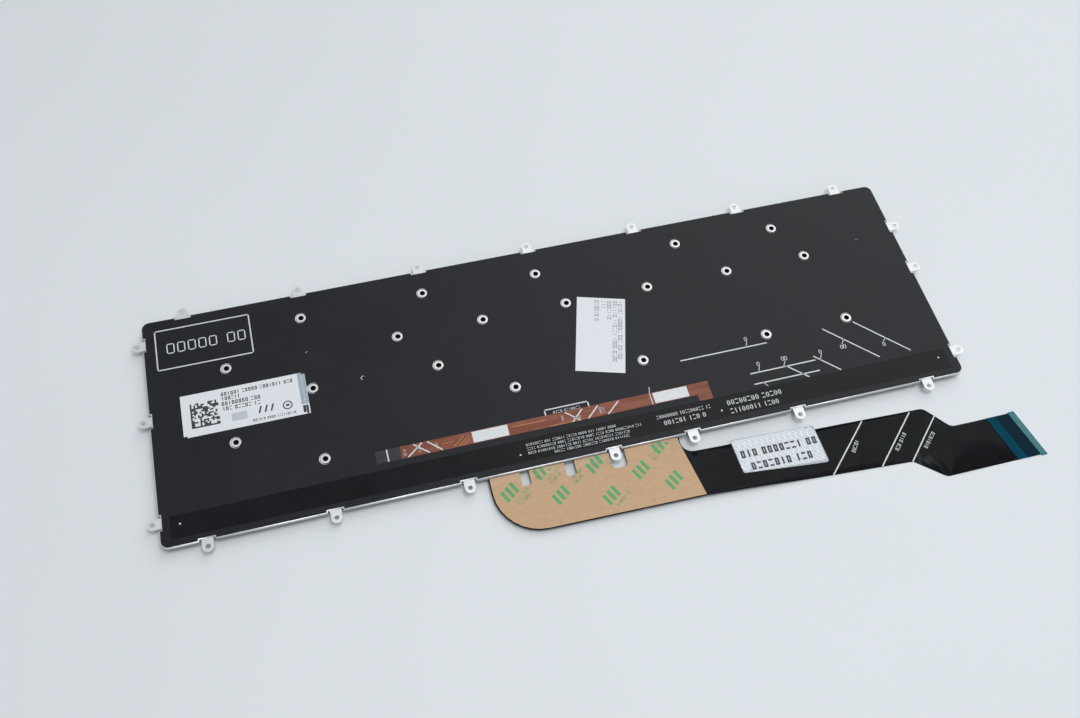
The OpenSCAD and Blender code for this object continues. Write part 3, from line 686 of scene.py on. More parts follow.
def key_places():
    """Every key of the grid, in rows from the function row to the space bar, from the left as a typist sees them."""
    grid = settings("grid")
    columns, pad_columns, full_rows = 13, 4, 5
    pitch = grid.key_pitch
    block = columns * pitch + grid.backspace
    whole_w = block + pad_columns * grid.pad_pitch
    whole_d = grid.function_row + full_rows * grid.row_pitch
    left = whole_w / 2 + grid.off_middle
    pad = left - block
    rows = [whole_d / 2] + [whole_d / 2 - grid.function_row - i * grid.row_pitch for i in range(full_rows + 1)]
    keys = []

    def lay(row, legends, first=pitch, step=pitch, named="", widths=None):
        x = left
        for i, legend in enumerate(legends):
            width = first if i == 0 else step
            if widths and i in widths:
                width = widths[i]
            if i == len(legends) - 1 and row in (1, 2, 3, 4):
                width = x - pad
            name = legend.lower() if legend.lower() in named and len(legend) == 1 else ""
            keys.append(Key(name, legend, x - width, x, rows[row + 1], rows[row]))
            x -= width
        return x

    functions = ["Esc"] + ["F%d" % i for i in range(1, 13)] + ["Prt", "Ins", "Del"]
    step = block / len(functions)
    lay(0, functions, step, step)
    lay(1, ["`", *"1234567890", "-", "=", "Back"], named="1234567890")
    lay(2, ["Tab", *"QWERTYUIOP", "[", "]", "\\"], grid.tab, named="qwertyuiop")
    lay(3, ["Caps", *"ASDFGHJKL", ";", "'", "Enter"], grid.caps, named="asdfghjkl")
    lay(4, ["Shift", *"ZXCVBNM", ",", ".", "/", "Shift"], grid.shift, named="zxcvbnm")
    x = lay(5, ["Ctrl", "Fn", "", "Alt", "", "Alt", "Ctrl"], grid.ctrl, widths={4: grid.space})
    keys[-3].name = "space"

    arrow = (x - pad) / 3
    middle = (rows[5] + rows[6]) / 2
    lap = (grid.key_gap - grid.arrow_gap) / 2
    keys.append(Key("", "<", x - arrow, x, rows[6], rows[5]))
    keys.append(Key("", "^", x - 2 * arrow, x - arrow, middle - lap, rows[5]))
    keys.append(Key("", "v", x - 2 * arrow, x - arrow, rows[6], middle + lap))
    keys.append(Key("", ">", pad, x - 2 * arrow, rows[6], rows[5]))

    def pad_key(legend, column, row, columns=1, row_count=1):
        x1 = pad - column * grid.pad_pitch
        keys.append(Key("", legend, x1 - columns * grid.pad_pitch, x1, rows[row + row_count], rows[row]))

    for row, legends in enumerate((("Home", "End", "PgUp"), ("Num", "/", "*"), "789", "456", "123")):
        for column, legend in enumerate(legends):
            pad_key(legend, column, row)
    pad_key("PgDn", 3, 0)
    pad_key("-", 3, 1)
    pad_key("+", 3, 2, row_count=2)
    pad_key("Enter", 3, 4, row_count=2)
    pad_key("0", 0, 5, columns=2)
    pad_key(".", 2, 5)
    return keys


def mechanism(key):
    """The lever length, tilt and dome radius that fit under one keycap."""
    parts = settings("mechanism")
    room = key.depth - 2 * (parts.cap_wall + CLIP + parts.play)
    length = min(parts.lever_length, room)
    tip_gap = 0.15 * MM
    rise = (MEMBRANE - parts.cap_skin) / 2 - parts.lever_thickness / 2 - tip_gap
    tilt = math.asin(rise / (length / 2))
    foot = min(parts.dome_radius, (length / 2 - parts.lever_bar) * math.cos(tilt) - 2 * parts.play)
    return length, tilt, foot


def add_dome(mesh, key):
    """A rubber dome: a wide foot on the membrane, a bell and a flat crown under the keycap."""
    parts = settings("mechanism")
    foot = mechanism(key)[2]
    crown = parts.cap_skin + parts.play
    height = MEMBRANE - crown
    wall = parts.dome_wall
    outside = [
        (0, 0), (0.50, 0), (0.56, 0.03), (0.58, 0.22), (0.66, 0.38), (0.84, 0.80), (0.90, 0.93), (1.0, 0.95),
        (1.0, 1.0),
    ]
    inside = [(0.82, 1.0), (0.56, 0.42), (0.50, 0.30), (0.46, 0.24), (0, 0.24)]
    profile = [(r * foot, crown + h * height) for r, h in outside]
    profile += [(r * foot - wall * 0.1 if r else 0, crown + h * height) for r, h in inside]
    add_lathe(mesh, (key.x, key.y), profile, parts.dome_steps)


def add_lever_pair(mesh, key):
    """The outer and inner lever, crossed and pinned at the middle."""
    parts = settings("mechanism")
    length, tilt, _ = mechanism(key)
    bar, thick = parts.lever_bar, parts.lever_thickness
    middle = Vector((key.x, key.y, (parts.cap_skin + MEMBRANE) / 2))
    inner_width = parts.lever_width - 2 * bar - 2 * parts.play
    for width, turn in ((parts.lever_width, tilt), (inner_width, -tilt)):
        tilted = Matrix.Rotation(turn, 4, "X")
        for side in (-1, 1):
            arm = (side * (width - bar) / 2, 0, 0), (bar / 2, length / 2, thick / 2)
            end = (0, side * (length - bar) / 2, 0), (width / 2 - bar, bar / 2, thick / 2)
            for offset, half in (arm, end):
                made = add_block(mesh, middle + tilted @ Vector(offset), half, tilted)
                ease_edges(mesh, made, EASED)
    recess, hub_wall = 0.05 * MM, 0.35 * MM
    for side in (-1, 1):
        outer = middle + Vector((side * parts.lever_width / 2, 0, 0))
        add_rod(mesh, middle + Vector((side * (inner_width / 2 - bar), 0, 0)), outer, parts.pin_radius)
        hub = middle + Vector((side * (parts.lever_width / 2 - bar), 0, 0))
        add_rod(mesh, hub, outer - Vector((side * recess, 0, 0)), parts.pin_radius + hub_wall)


def ease_edges(mesh, verts, width):
    """Rounds the edges of a block a little."""
    edges = list(dict.fromkeys(e for v in verts for e in v.link_edges))
    bmesh.ops.bevel(mesh, geom=edges, offset=width, segments=1, affect="EDGES")


def add_wire(mesh, key):
    """A stabiliser wire: a bar along the keycap, two arms and two feet turned in under the plate."""
    parts = settings("mechanism")
    radius = parts.wire_radius
    end_inset, foot_place, foot_length = 5 * MM, 2.6 * MM, 3 * MM
    half = key.width / 2 - end_inset
    bar_y = key.y0 + parts.cap_wall + radius + parts.play
    foot_y = key.y + foot_place
    low, high = parts.cap_skin + radius + parts.play, MEMBRANE - radius - parts.play
    add_rod(mesh, (key.x - half, bar_y, low), (key.x + half, bar_y, low), radius)
    for side in (-1, 1):
        x = key.x + side * half
        add_rod(mesh, (x, bar_y, low), (x, foot_y, high), radius)
        add_rod(mesh, (x, foot_y, high), (x - side * foot_length, foot_y, high), radius)
        for spot in ((x, bar_y, low), (x, foot_y, high)):
            bmesh.ops.create_icosphere(mesh, subdivisions=2, radius=radius, matrix=Matrix.Translation(spot))


def has_wire(key):
    grid = settings("grid")
    widest_plain = 30.5 * MM
    return key.width > widest_plain - grid.key_gap and key.depth < grid.row_pitch


def build_under_keys(keys, add, material, name, name_of_others):
    """Builds a piece of its own under each typing key, and one under all other keys."""
    rest = bmesh.new()
    for key in keys:
        if key.name:
            mesh = bmesh.new()
            add(mesh, key)
            piece = new_piece(name + key.name, mesh, material)
            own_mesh(piece)
        else:
            add(rest, key)
    others = new_piece(name_of_others, rest, material)
    return others


# The tail's shape ---------------------------------------------------------------------------------


def ease_in(t):
    t = min(max(t, 0.0), 1.0)
    return t * t * (3 - 2 * t)


def tail_height(x, y):
    """Height of the tail's underside: it bends down from the plate, and its run falls to the table in soft waves."""
    tail = settings("tail")
    root_width, bend_inset = 85.5 * MM, 3 * MM
    waves_start, waves_end, flat_end = 20 * MM, 16 * MM, 22 * MM
    root_x = TAIL[0].x + root_width
    bend_y = FILM[0].y + bend_inset
    top = MEMBRANE - tail.film
    if x < root_x:
        return tail.lift + (top - tail.lift) * (1 - ease_in((bend_y - y) / tail.bend))
    fall = ease_in((x - root_x) / tail.fall)
    swell = (1 - math.cos(2 * math.pi * (x - root_x) / tail.wave_length)) / 2
    edge = ease_in((x - root_x) / waves_start) * ease_in((TAIL[1].x - flat_end - x) / waves_end)
    return tail.lift * (1 - fall) + tail.wave * swell * edge


def rounded_outline(corners, steps=8):
    """The outline through corners (x, y, radius), in millimetres, with each corner rounded by an arc."""
    outline = []
    for i, (x, y, radius) in enumerate(corners):
        at = Vector((x, y))
        before = (Vector(corners[i - 1][:2]) - at).normalized()
        after = (Vector(corners[(i + 1) % len(corners)][:2]) - at).normalized()
        if not radius:
            outline.append(at * MM)
            continue
        half = before.angle(after) / 2
        middle = at + (before + after).normalized() * radius / math.sin(half)
        start = at + before * radius / math.tan(half) - middle
        end = at + after * radius / math.tan(half) - middle
        first = math.atan2(start.y, start.x)
        turn = (math.atan2(end.y, end.x) - first + math.pi) % (2 * math.pi) - math.pi
        for step in range(steps + 1):
            at_angle = first + turn * step / steps
            outline.append((middle + radius * Vector((math.cos(at_angle), math.sin(at_angle)))) * MM)
    return outline


# Corners (x, y, radius) of the tail and its sticker, and the root's slots (x0, x1, end, radius), in millimetres
TAIL_CORNERS = (
    (-41.5, -47.65, 0), (-41.5, -79.05, 19.5), (44, -80.45, 0), (134.3, -85.89, 3), (145.7, -95.65, 4),
    (189.1, -95.65, 0), (189.1, -96.15, 0), (192.1, -96.15, 0), (187.1, -74.05, 0), (184.1, -74.05, 0),
    (184.1, -74.55, 0), (157.1, -74.55, 4), (148.6, -63.55, 4), (40.6, -60.15, 5), (40.3, -47.65, 0),
)
STICKER_CORNERS = ((61.3, -59.25, 1), (62, -74.75, 1), (99.6, -77.65, 1), (98.9, -60.05, 1))
SLOTS = ((-28.4, -24.5, -58.95, 0.5), (-9.5, -5.2, -58.95, 0.5), (9.7, 16.4, -60.25, 2))
SLOT_START = -51.65
# Where a sheet is cut so that it can bend, in millimetres: closely across the root's bend, and every few along it
BEND_CUTS = (-48.5, *(-49.65 - 0.5 * i for i in range(16)), -60, -65, -70, -75, -80)
RUN_CUT = 3


def slot_outline(x0, x1, y0, radius):
    return rounded_outline(((x0, SLOT_START, 0), (x0, y0, radius), (x1, y0, radius), (x1, SLOT_START, 0)))


def film_piece(name, outer, holes, lift, thickness, material):
    """A thin sheet cut to an outline and laid over the tail's bends."""
    mesh = bmesh.new()
    edges = []
    for loop in (outer, *holes):
        verts = [mesh.verts.new((p[0], p[1], 0)) for p in loop]
        edges += [mesh.edges.new(pair) for pair in zip(verts, rolled(verts))]
    bmesh.ops.triangle_fill(mesh, edges=edges, use_beauty=True)
    touching = 1e-7
    xs, ys = [p[0] for p in outer], [p[1] for p in outer]
    cuts = [((0, y * MM, 0), (0, 1, 0)) for y in BEND_CUTS if min(ys) < y * MM < max(ys)]
    along = range(int(min(xs) / MM) + RUN_CUT, int(max(xs) / MM), RUN_CUT)
    cuts += [((x * MM, 0, 0), (1, 0, 0)) for x in along if min(xs) < x * MM < max(xs)]
    for at, normal in cuts:
        geometry = mesh.verts[:] + mesh.edges[:] + mesh.faces[:]
        bmesh.ops.bisect_plane(mesh, geom=geometry, plane_co=at, plane_no=normal, dist=touching)
    slanted = []
    for edge in mesh.edges:
        run = edge.verts[1].co - edge.verts[0].co
        if len(edge.link_faces) == 2 and abs(run.x) > touching and abs(run.y) > touching:
            slanted.append(edge)
    bmesh.ops.dissolve_edges(mesh, edges=slanted, use_verts=False)
    for vert in mesh.verts:
        vert.co.z = tail_height(vert.co.x, vert.co.y) + lift
    mesh.normal_update()
    for face in mesh.faces:
        if face.normal.z < 0:
            face.normal_flip()
    mesh.normal_update()
    top = bmesh.ops.extrude_face_region(mesh, geom=mesh.faces[:])["geom"]
    bmesh.ops.translate(mesh, vec=(0, 0, thickness), verts=[g for g in top if isinstance(g, bmesh.types.BMVert)])
    bmesh.ops.recalc_face_normals(mesh, faces=mesh.faces)
    for face in mesh.faces:
        face.smooth = abs(face.normal.z) > 0.5
    return new_piece(name, mesh, material)


# Operators ----------------------------------------------------------------------------------------


class KEYBOARD_OT_plate_layers(Operator):
    """Finish the steel plate, the membrane, the light guide, the reflector and the back film"""

    bl_idname = "keyboard.plate_layers"
    bl_label = "Plate and layers"

    def execute(self, context):
        finish_node("base_plate", rolled_steel())
        finish_node("membrane_upper", membrane_sheet("dark_membrane", (0.03, 0.032, 0.04)))
        clear = membrane_sheet("clear_membrane", (0.46, 0.50, 0.52))
        finish_node("membrane_spacer", clear)
        finish_node("membrane_circuit", clear)
        finish_node("light_guide", frosted_guide())
        finish_node("reflector", white_reflector())
        finish_node("back_film", black_film())
        loops = top_loops("back_film")
        self.rounded_edge(max(loops, key=lambda loop: loop_span(loop)[0]))
        # Painted shade in and beside the screw bosses, and in the three small holes of the film.
        hole = settings("plate").film_hole
        self.bosses([middle for width, middle in map(loop_span, loops) if abs(width - 2 * hole) < 0.1 * MM])
        # Painted shade in the three small holes of the film.
        self.painted_hole_shade()
        return {"FINISHED"}

    def rounded_edge(self, outline):
        """The plate's edge, bent down around the layers on it."""
        out = settings("plate").rim
        foot = BACK - settings("plate").edge_height
        bend = ((0.0, 0.16), (0.35, 0.18), (0.7, 0.28), (0.92, 0.45), (1.0, 0.7))
        profile = [(share * out, BACK - drop * MM) for share, drop in bend] + [(out, foot), (0.0, foot)]
        mesh = bmesh.new()
        sweep_round(mesh, outline, profile)
        new_piece("rounded_edge", mesh, rolled_steel("bent_edge"))

    def bosses(self, places):
        """Painted shade at each screw boss: a black disc, tube and ring in and round its hole, and a black band in the
        gap beside it, narrow on the left and filling the film's opening on the right.
        """
        plate = settings("plate")
        top, foot = BACK - 0.015 * MM, BACK - 0.4 * MM
        wall, gap_shade_level = 0.05 * MM, BACK - 0.14 * MM
        shade_floor_inset, rim_shade_place, rim_shade_width = 0.5 * MM, 0.09 * MM, 0.2 * MM
        shade_tube = [(plate.bore, top), (plate.bore, foot), (plate.bore + wall, foot), (plate.bore + wall, top)]
        left, right = plate.boss + plate.gap_shade_width, plate.film_hole
        bore_shade, gap_shade = bmesh.new(), bmesh.new()
        for x, y in places:
            add_face(bore_shade, around((x, y), plate.boss - shade_floor_inset, BORE_STEPS), MEMBRANE)
            add_lathe(bore_shade, (x, y), shade_tube + shade_tube[:1], BORE_STEPS)
            add_ring(bore_shade, (x, y), plate.bore + rim_shade_place, rim_shade_width, BACK + settings("print").lift, BORE_STEPS)
            outer = around((x + (right - left) / 2, y), (left + right) / 2, GAP_STEPS)
            # Painted shade: the band fills the gap on the right and leaves the reflector as a white crescent on the
            # left.
            add_band(gap_shade, around((x, y), plate.boss, GAP_STEPS), outer, gap_shade_level)
        new_piece("painted_bore_shade", bore_shade, plain_ink("bore_shade_black", (0.006, 0.006, 0.007), 0.6, Specular_IOR_Level=0.1))
        new_piece("painted_gap_shade", gap_shade, plain_ink("gap_shade_black", (0.008, 0.008, 0.009), 0.6, Specular_IOR_Level=0.1))

    def painted_hole_shade(self):
        """Painted shade in the three small holes in the film: a low black head at the bottom of each, a little off
        centre so that the steel shows as a crescent on one side.
        """
        mesh = bmesh.new()
        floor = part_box("light_guide")[0].z
        rise = ((0, 0), (1, 0), (1, 0.2), (0.7, 0.3), (0, 0.33))
        for x, y, radius in ((-104.1, 22.35, 0.6), (-82.8, 4.5, 1.0), (153.6, 23.95, 0.8)):
            shade_radius = 0.72 * radius * MM
            profile = [(share * shade_radius, floor + height * MM) for share, height in rise]
            add_lathe(mesh, ((x + 0.18 * radius) * MM, (y + 0.1 * radius) * MM), profile, DOT_STEPS)
        new_piece("painted_hole_shade", mesh, plain_ink("hole_shade_black", (0.004, 0.004, 0.005), 0.5, Specular_IOR_Level=0.15))


class KEYBOARD_OT_keycaps(Operator):
    """Finish the keycaps and print their legends"""

    bl_idname = "keyboard.keycaps"
    bl_label = "Keycaps and legends"

    def execute(self, context):
        plastic = keycap_plastic()
        for node in NODES:
            if node.startswith("key_") or node == "other_keys":
                finish_node(node, plastic)
        ink = plain_ink("legend_ink", (0.74, 0.75, 0.77), 0.4)
        rest = bmesh.new()
        for key in key_places():
            if not key.legend:
                continue
            if key.name:
                mesh = bmesh.new()
                self.add_legend(mesh, key)
                new_piece("legend_" + key.name, mesh, ink, key.body)
            else:
                self.add_legend(rest, key)
        new_piece("legends_of_other_keys", rest, ink)
        return {"FINISHED"}

    def add_legend(self, mesh, key):
        """Adds a legend on the touch face, to be read from below with the function row at the top."""
        prints = settings("print")
        dish, half_height = 0.15 * MM, 8 * MM
        tall = prints.legend if len(key.legend) == 1 and key.depth > half_height else prints.small_legend
        text = bpy.data.curves.new("legend", "FONT")
        text.body = key.legend
        text.size = tall
        text.align_x = "CENTER"
        text.align_y = "CENTER"
        text.resolution_u = 3
        holder = bpy.data.objects.new("legend", text)
        bpy.context.scene.collection.objects.link(holder)
        flat = bpy.data.meshes.new_from_object(holder.evaluated_get(bpy.context.evaluated_depsgraph_get()))
        bpy.data.objects.remove(holder)
        dished = key.width < settings("grid").key_pitch and key.depth > settings("grid").row_pitch / 2
        height = (dish if dished else 0.0) - prints.lift
        flat.transform(Matrix.Translation((key.x, key.y, height)) @ Matrix.Rotation(math.pi, 4, "Y"))
        mesh.from_mesh(flat)
        bpy.data.meshes.remove(flat)
        bpy.data.curves.remove(text)


class KEYBOARD_OT_domes(Operator):
    """Build the rubber domes: a piece of its own under each typing key, and one under all other keys"""

    bl_idname = "keyboard.domes"
    bl_label = "Rubber domes"

    def execute(self, context):
        others = build_under_keys(key_places(), add_dome, dome_rubber(), "dome_", "domes_of_other_keys")
        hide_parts("rubber_domes")
        return {"FINISHED"}


class KEYBOARD_OT_levers(Operator):
    """Build the crossed levers: a piece of its own under each typing key, and one under all other keys"""

    bl_idname = "keyboard.levers"
    bl_label = "Scissor levers"

    def execute(self, context):
        keys, plastic = key_places(), lever_plastic()
        others = build_under_keys(keys, add_lever_pair, plastic, "levers_", "levers_of_other_keys")
        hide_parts("scissor_outer", "scissor_inner")
        return {"FINISHED"}


class KEYBOARD_OT_wires(Operator):
    """Build the stabiliser wires under the wide keys"""

    bl_idname = "keyboard.wires"
    bl_label = "Stabiliser wires"

    def execute(self, context):
        keys, steel = filter(has_wire, key_places()), rolled_steel("drawn_wire")
        others = build_under_keys(keys, add_wire, steel, "wire_", "wires_of_other_keys")
        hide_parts("stabiliser_wires")
        return {"FINISHED"}


class KEYBOARD_OT_light_strip(Operator):
    """Finish the light strip, its lamps and pads and the edge tape, and print the strip's marks"""

    bl_idname = "keyboard.light_strip"
    bl_label = "Light strip and tape"

    def execute(self, context):
        finish_node("edge_tape", glossy_tape())
        finish_node("light_strip", strip_film())
        finish_node("lamps", lamp_plastic())
        finish_node("strip_pads", coated_paper("pad_film", (0.66, 0.68, 0.70)))
        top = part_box("light_strip")[1].z + settings("print").lift
        self.black_end(top)
        self.tracks(top)
        self.marks(top)
        return {"FINISHED"}

    def black_end(self, top):
        """Black ink over the strip's left end, and a short piece of tape on it."""
        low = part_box("light_strip")[0]
        ink = plain_ink("strip_black", settings("finish").black_ink, 0.4, Specular_IOR_Level=0.3)
        mesh = bmesh.new()
        add_face(mesh, rectangle(low.x, -36.78 * MM, -73.8 * MM, -31.22 * MM), top)
        new_piece("strip_end", mesh, ink)
        tape = bmesh.new()
        half = Vector((1.9, 2.7, 0.02)) * MM
        add_block(tape, (low.x + half.x, -34 * MM, top + half.z), half)
        new_piece("strip_end_tape", tape, ink)

    def tracks(self, top):
        """Bare tracks that cross the strip near its black end and run along its front edge."""
        marks = Ink(top)
        marks.strokes(
            0.35 * MM,
            (-56.5, -34.0, -51.6, -33.8), (-51.5, -35.9, -47.1, -32.3), (-49.5, -36.4, -44.9, -32.4),
            (-47.6, -36.4, -44.2, -33.4), (-11.0, -36.55, 2.0, -36.55), (-26.0, -33.2, -12.0, -33.2),
        )
        marks.finish("strip_tracks", plain_ink("ochre_track", settings("finish").ochre, 0.35))

    def marks(self, top):
        """White slanted lines with short rows of print between them, and a bar at either end."""
        line = settings("print").line
        marks = Ink(top)
        marks.strokes(
            line,
            (-70.9, -36.4, -64.8, -31.6), (-68.0, -31.6, -62.4, -36.4), (-62.2, -31.6, -57.0, -36.4),
            (-3.2, -31.9, 2.0, -36.5), (-1.0, -36.5, 3.9, -31.9), (5.8, -36.5, 10.8, -31.9), (14.5, -36.5, 19.8, -31.9),
            up=0.5 * settings("print").lift,
        )
        places = (-71.7, -65.6, -58.3, -4.6, 2.6, 11.9, 13.3)
        marks.turned_rows([(x, -35.6, x, -32.4) for x in places], 0.95, seed=10)
        marks.strokes(line, (-79.3, -36.4, -79.3, -31.5), up=0.05 * MM)
        marks.strokes(line * 0.7, (34.1, -36.6, 34.1, -31.5), up=0.05 * MM)
        marks.finish("strip_marks", plain_ink("strip_white", settings("finish").white_ink))


class KEYBOARD_OT_back_prints(Operator):
    """Print the white lines, dots and rows of small marks on the back film and the edge tape"""

    bl_idname = "keyboard.back_prints"
    bl_label = "Prints on the back"

    def execute(self, context):
        prints = settings("print")
        ink = plain_ink("white_print", settings("finish").white_ink)
        film = BACK + prints.lift
        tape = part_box("edge_tape")[1].z + prints.lift
        self.frame_mark(ink, film)
        self.line_marks(ink, film)
        self.small_marks(ink, film, tape)
        return {"FINISHED"}

    def frame_mark(self, ink, z):
        """The large frame at the number pad end, with a row of empty boxes in it."""
        line = settings("print").line
        marks = Ink(z)
        marks.frames(line, (-166.5, 27.6, -126.3, 47.4))
        lefts = [-161.9 + 4.5 * i + (3.2 if i > 4 else 0) for i in range(7)]
        marks.frames(line * 0.85, *((left, 35.3, left + 2.9, 39.9) for left in lefts))
        marks.finish("print_frame", ink)

    def line_marks(self, ink, z):
        """The straight and slanted lines, each with a short leader and a box or two."""
        line, fine = settings("print").line, settings("print").fine_line
        marks = Ink(z)
        marks.strokes(
            line,
            (52.4, -19.1, 92, -19.1), (80, -32.3, 109.7, -32.3), (80, -37.6, 109.7, -37.6), (96.5, -32.3, 104.1, -39.4),
            (110, -30.5, 119, -39.3), (119.1, -18.3, 138.2, -37.2), (133.9, -17.9, 153, -37.2),
        )
        leaders = (
            (82.6, -19.1, 83.7, -16.4, 1), (83.6, -32.3, 84.8, -29.6, 1), (95.1, -32.3, 96.8, -29.6, 2),
            (83.8, -37.6, 85.2, -39.6, 1), (112.2, -32.7, 113.7, -30.1, 1), (126.2, -25.2, 124.6, -27.4, 2),
            (144.8, -28.9, 143.0, -30.4, 1),
        )
        for xa, ya, xb, yb, boxes in leaders:
            marks.strokes(fine, (xa, ya, xb, yb))
            foot = yb + (0.4 if yb > ya else -2.2)
            lefts = [xb - 0.6 * boxes + 1.4 * i for i in range(boxes)]
            marks.frames(fine, *((left, foot, left + 1.0, foot + 1.7) for left in lefts))
        marks.strokes(line, (-11.6, -32.3, -11.6, -28.7), (-11.6, -28.7, 7.3, -28.7), (7.3, -28.7, 7.3, -32.3))
        marks.strokes(fine, (34.9, -28.4, 34.1, -31.4))
        marks.finish("print_lines", ink)

    def small_marks(self, ink, film, tape):
        """Rows of fine print and the dots on the tape."""
        marks = Ink(film)
        marks.rows([(-8.2, 4.2, -31.2, 1.3)], seed=3)
        marks.z = tape
        rows = (
            (-23, 16.5, -43.2, 1.15), (-23, 27.2, -45.1, 1.15), (-23, 22.1, -47.0, 1.15), (-12.2, 21.6, -48.8, 1.15),
            (33.6, 58.7, -43.9, 1.5), (36, 55, -47.4, 2.1), (65.1, 91.2, -44.6, 2.3), (65.3, 87.8, -48.6, 2.2),
        )
        marks.rows(rows, seed=20)
        for x, y in ((-163.7, -43.8), (-26.3, -46.4), (61.7, -46.3), (163.6, -43.8)):
            add_face(marks.mesh, around((x * MM, y * MM), settings("print").dot, DOT_STEPS), tape)
        marks.finish("print_small_marks", ink)


class KEYBOARD_OT_labels(Operator):
    """Finish the two labels on the back and print their plain fields"""

    bl_idname = "keyboard.labels"
    bl_label = "Labels"

    def execute(self, context):
        finish = settings("finish")
        finish_node("part_label", coated_paper("label_paper", finish.paper))
        finish_node("paper_label", coated_paper("slip_paper", finish.paper, 0.55))
        grey = plain_ink("label_grey", finish.grey_ink)
        self.part_label(grey, plain_ink("label_black", finish.black_ink))
        self.paper_label(plain_ink("slip_grey", (0.36, 0.37, 0.39)))
        return {"FINISHED"}

    def part_label(self, grey, black):
        """The prints on two stacked labels, the lower of which shows along one end."""
        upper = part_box("part_label")[1].z
        top = upper + settings("print").lift
        step = (upper - BACK) / 2
        dark = Ink(top)
        self.square_mark(dark.mesh, -155.2 * MM, -3.4 * MM, 11.7 * MM, top)
        rows = (
            (-142, -110.9, 9.3, 1.65), (-142, -133.6, 7.1, 1.65), (-142.2, -125.3, 4.6, 1.76),
            (-142, -125.4, 2.1, 1.76), (-130.3, -111.6, -5.7, 1.1),
        )
        dark.rows(rows, seed=40, weight=0.2)
        add_ring(dark.mesh, (-115.6 * MM, -1.2 * MM), 1.8 * MM, 0.5 * MM, top)
        dark.fields((-116.3, -1.7, -114.9, -0.7))
        dark.strokes(0.7 * MM, *((x, -2.0, x + 0.9, 0.6) for x in (-127.4, -124.9, -122.4)))
        dark.fields((-109.5, -6.2, -108.25, -2.9))
        dark.fields((-108.15, -6.9, -107.2, -2.9), up=-step)
        dark.finish("label_print", black)
        bands = Ink(top)
        bands.fields((-109.9, -2.4, -108.25, 12.8))
        bands.fields((-108.15, -2.4, -106.75, 12.1), up=-step)
        feet = [-3.4 + 0.52 * i for i in range(7)]
        bands.fields(*((-138.8, foot, -132.4, foot + 0.3) for foot in feet))
        bands.finish("label_bands", grey)

    def square_mark(self, mesh, x0, y0, side, z, cells=16):
        """A square field of small squares at random, which says nothing."""
        rng = random.Random(29)
        cell = side / cells
        for i in range(cells):
            for j in range(cells):
                if rng.random() < 0.5 or i == 0 or j == 0:
                    west, south = x0 + i * cell, y0 + j * cell
                    add_face(mesh, rectangle(west, south, x0 + (i + 1) * cell, y0 + (j + 1) * cell), z)

    def paper_label(self, ink):
        """Faint rows that run along the slanted slip."""
        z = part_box("paper_label")[1].z + settings("print").lift
        marks = Ink()
        start = 17.6
        rows = ((7.7, 29.7), (5.3, 32.5), (2.8, 9.8), (0.2, 5.3), (-2.8, 11))
        marks.turned_rows([(x, start, x, start - length) for x, length in rows], 1.8, seed=60)
        place = Matrix.Translation((22 * MM, 1.9 * MM, z)) @ Matrix.Rotation(math.radians(-16.4), 4, "Z")
        bmesh.ops.transform(marks.mesh, matrix=place, verts=marks.mesh.verts)
        marks.finish("slip_rows", ink)


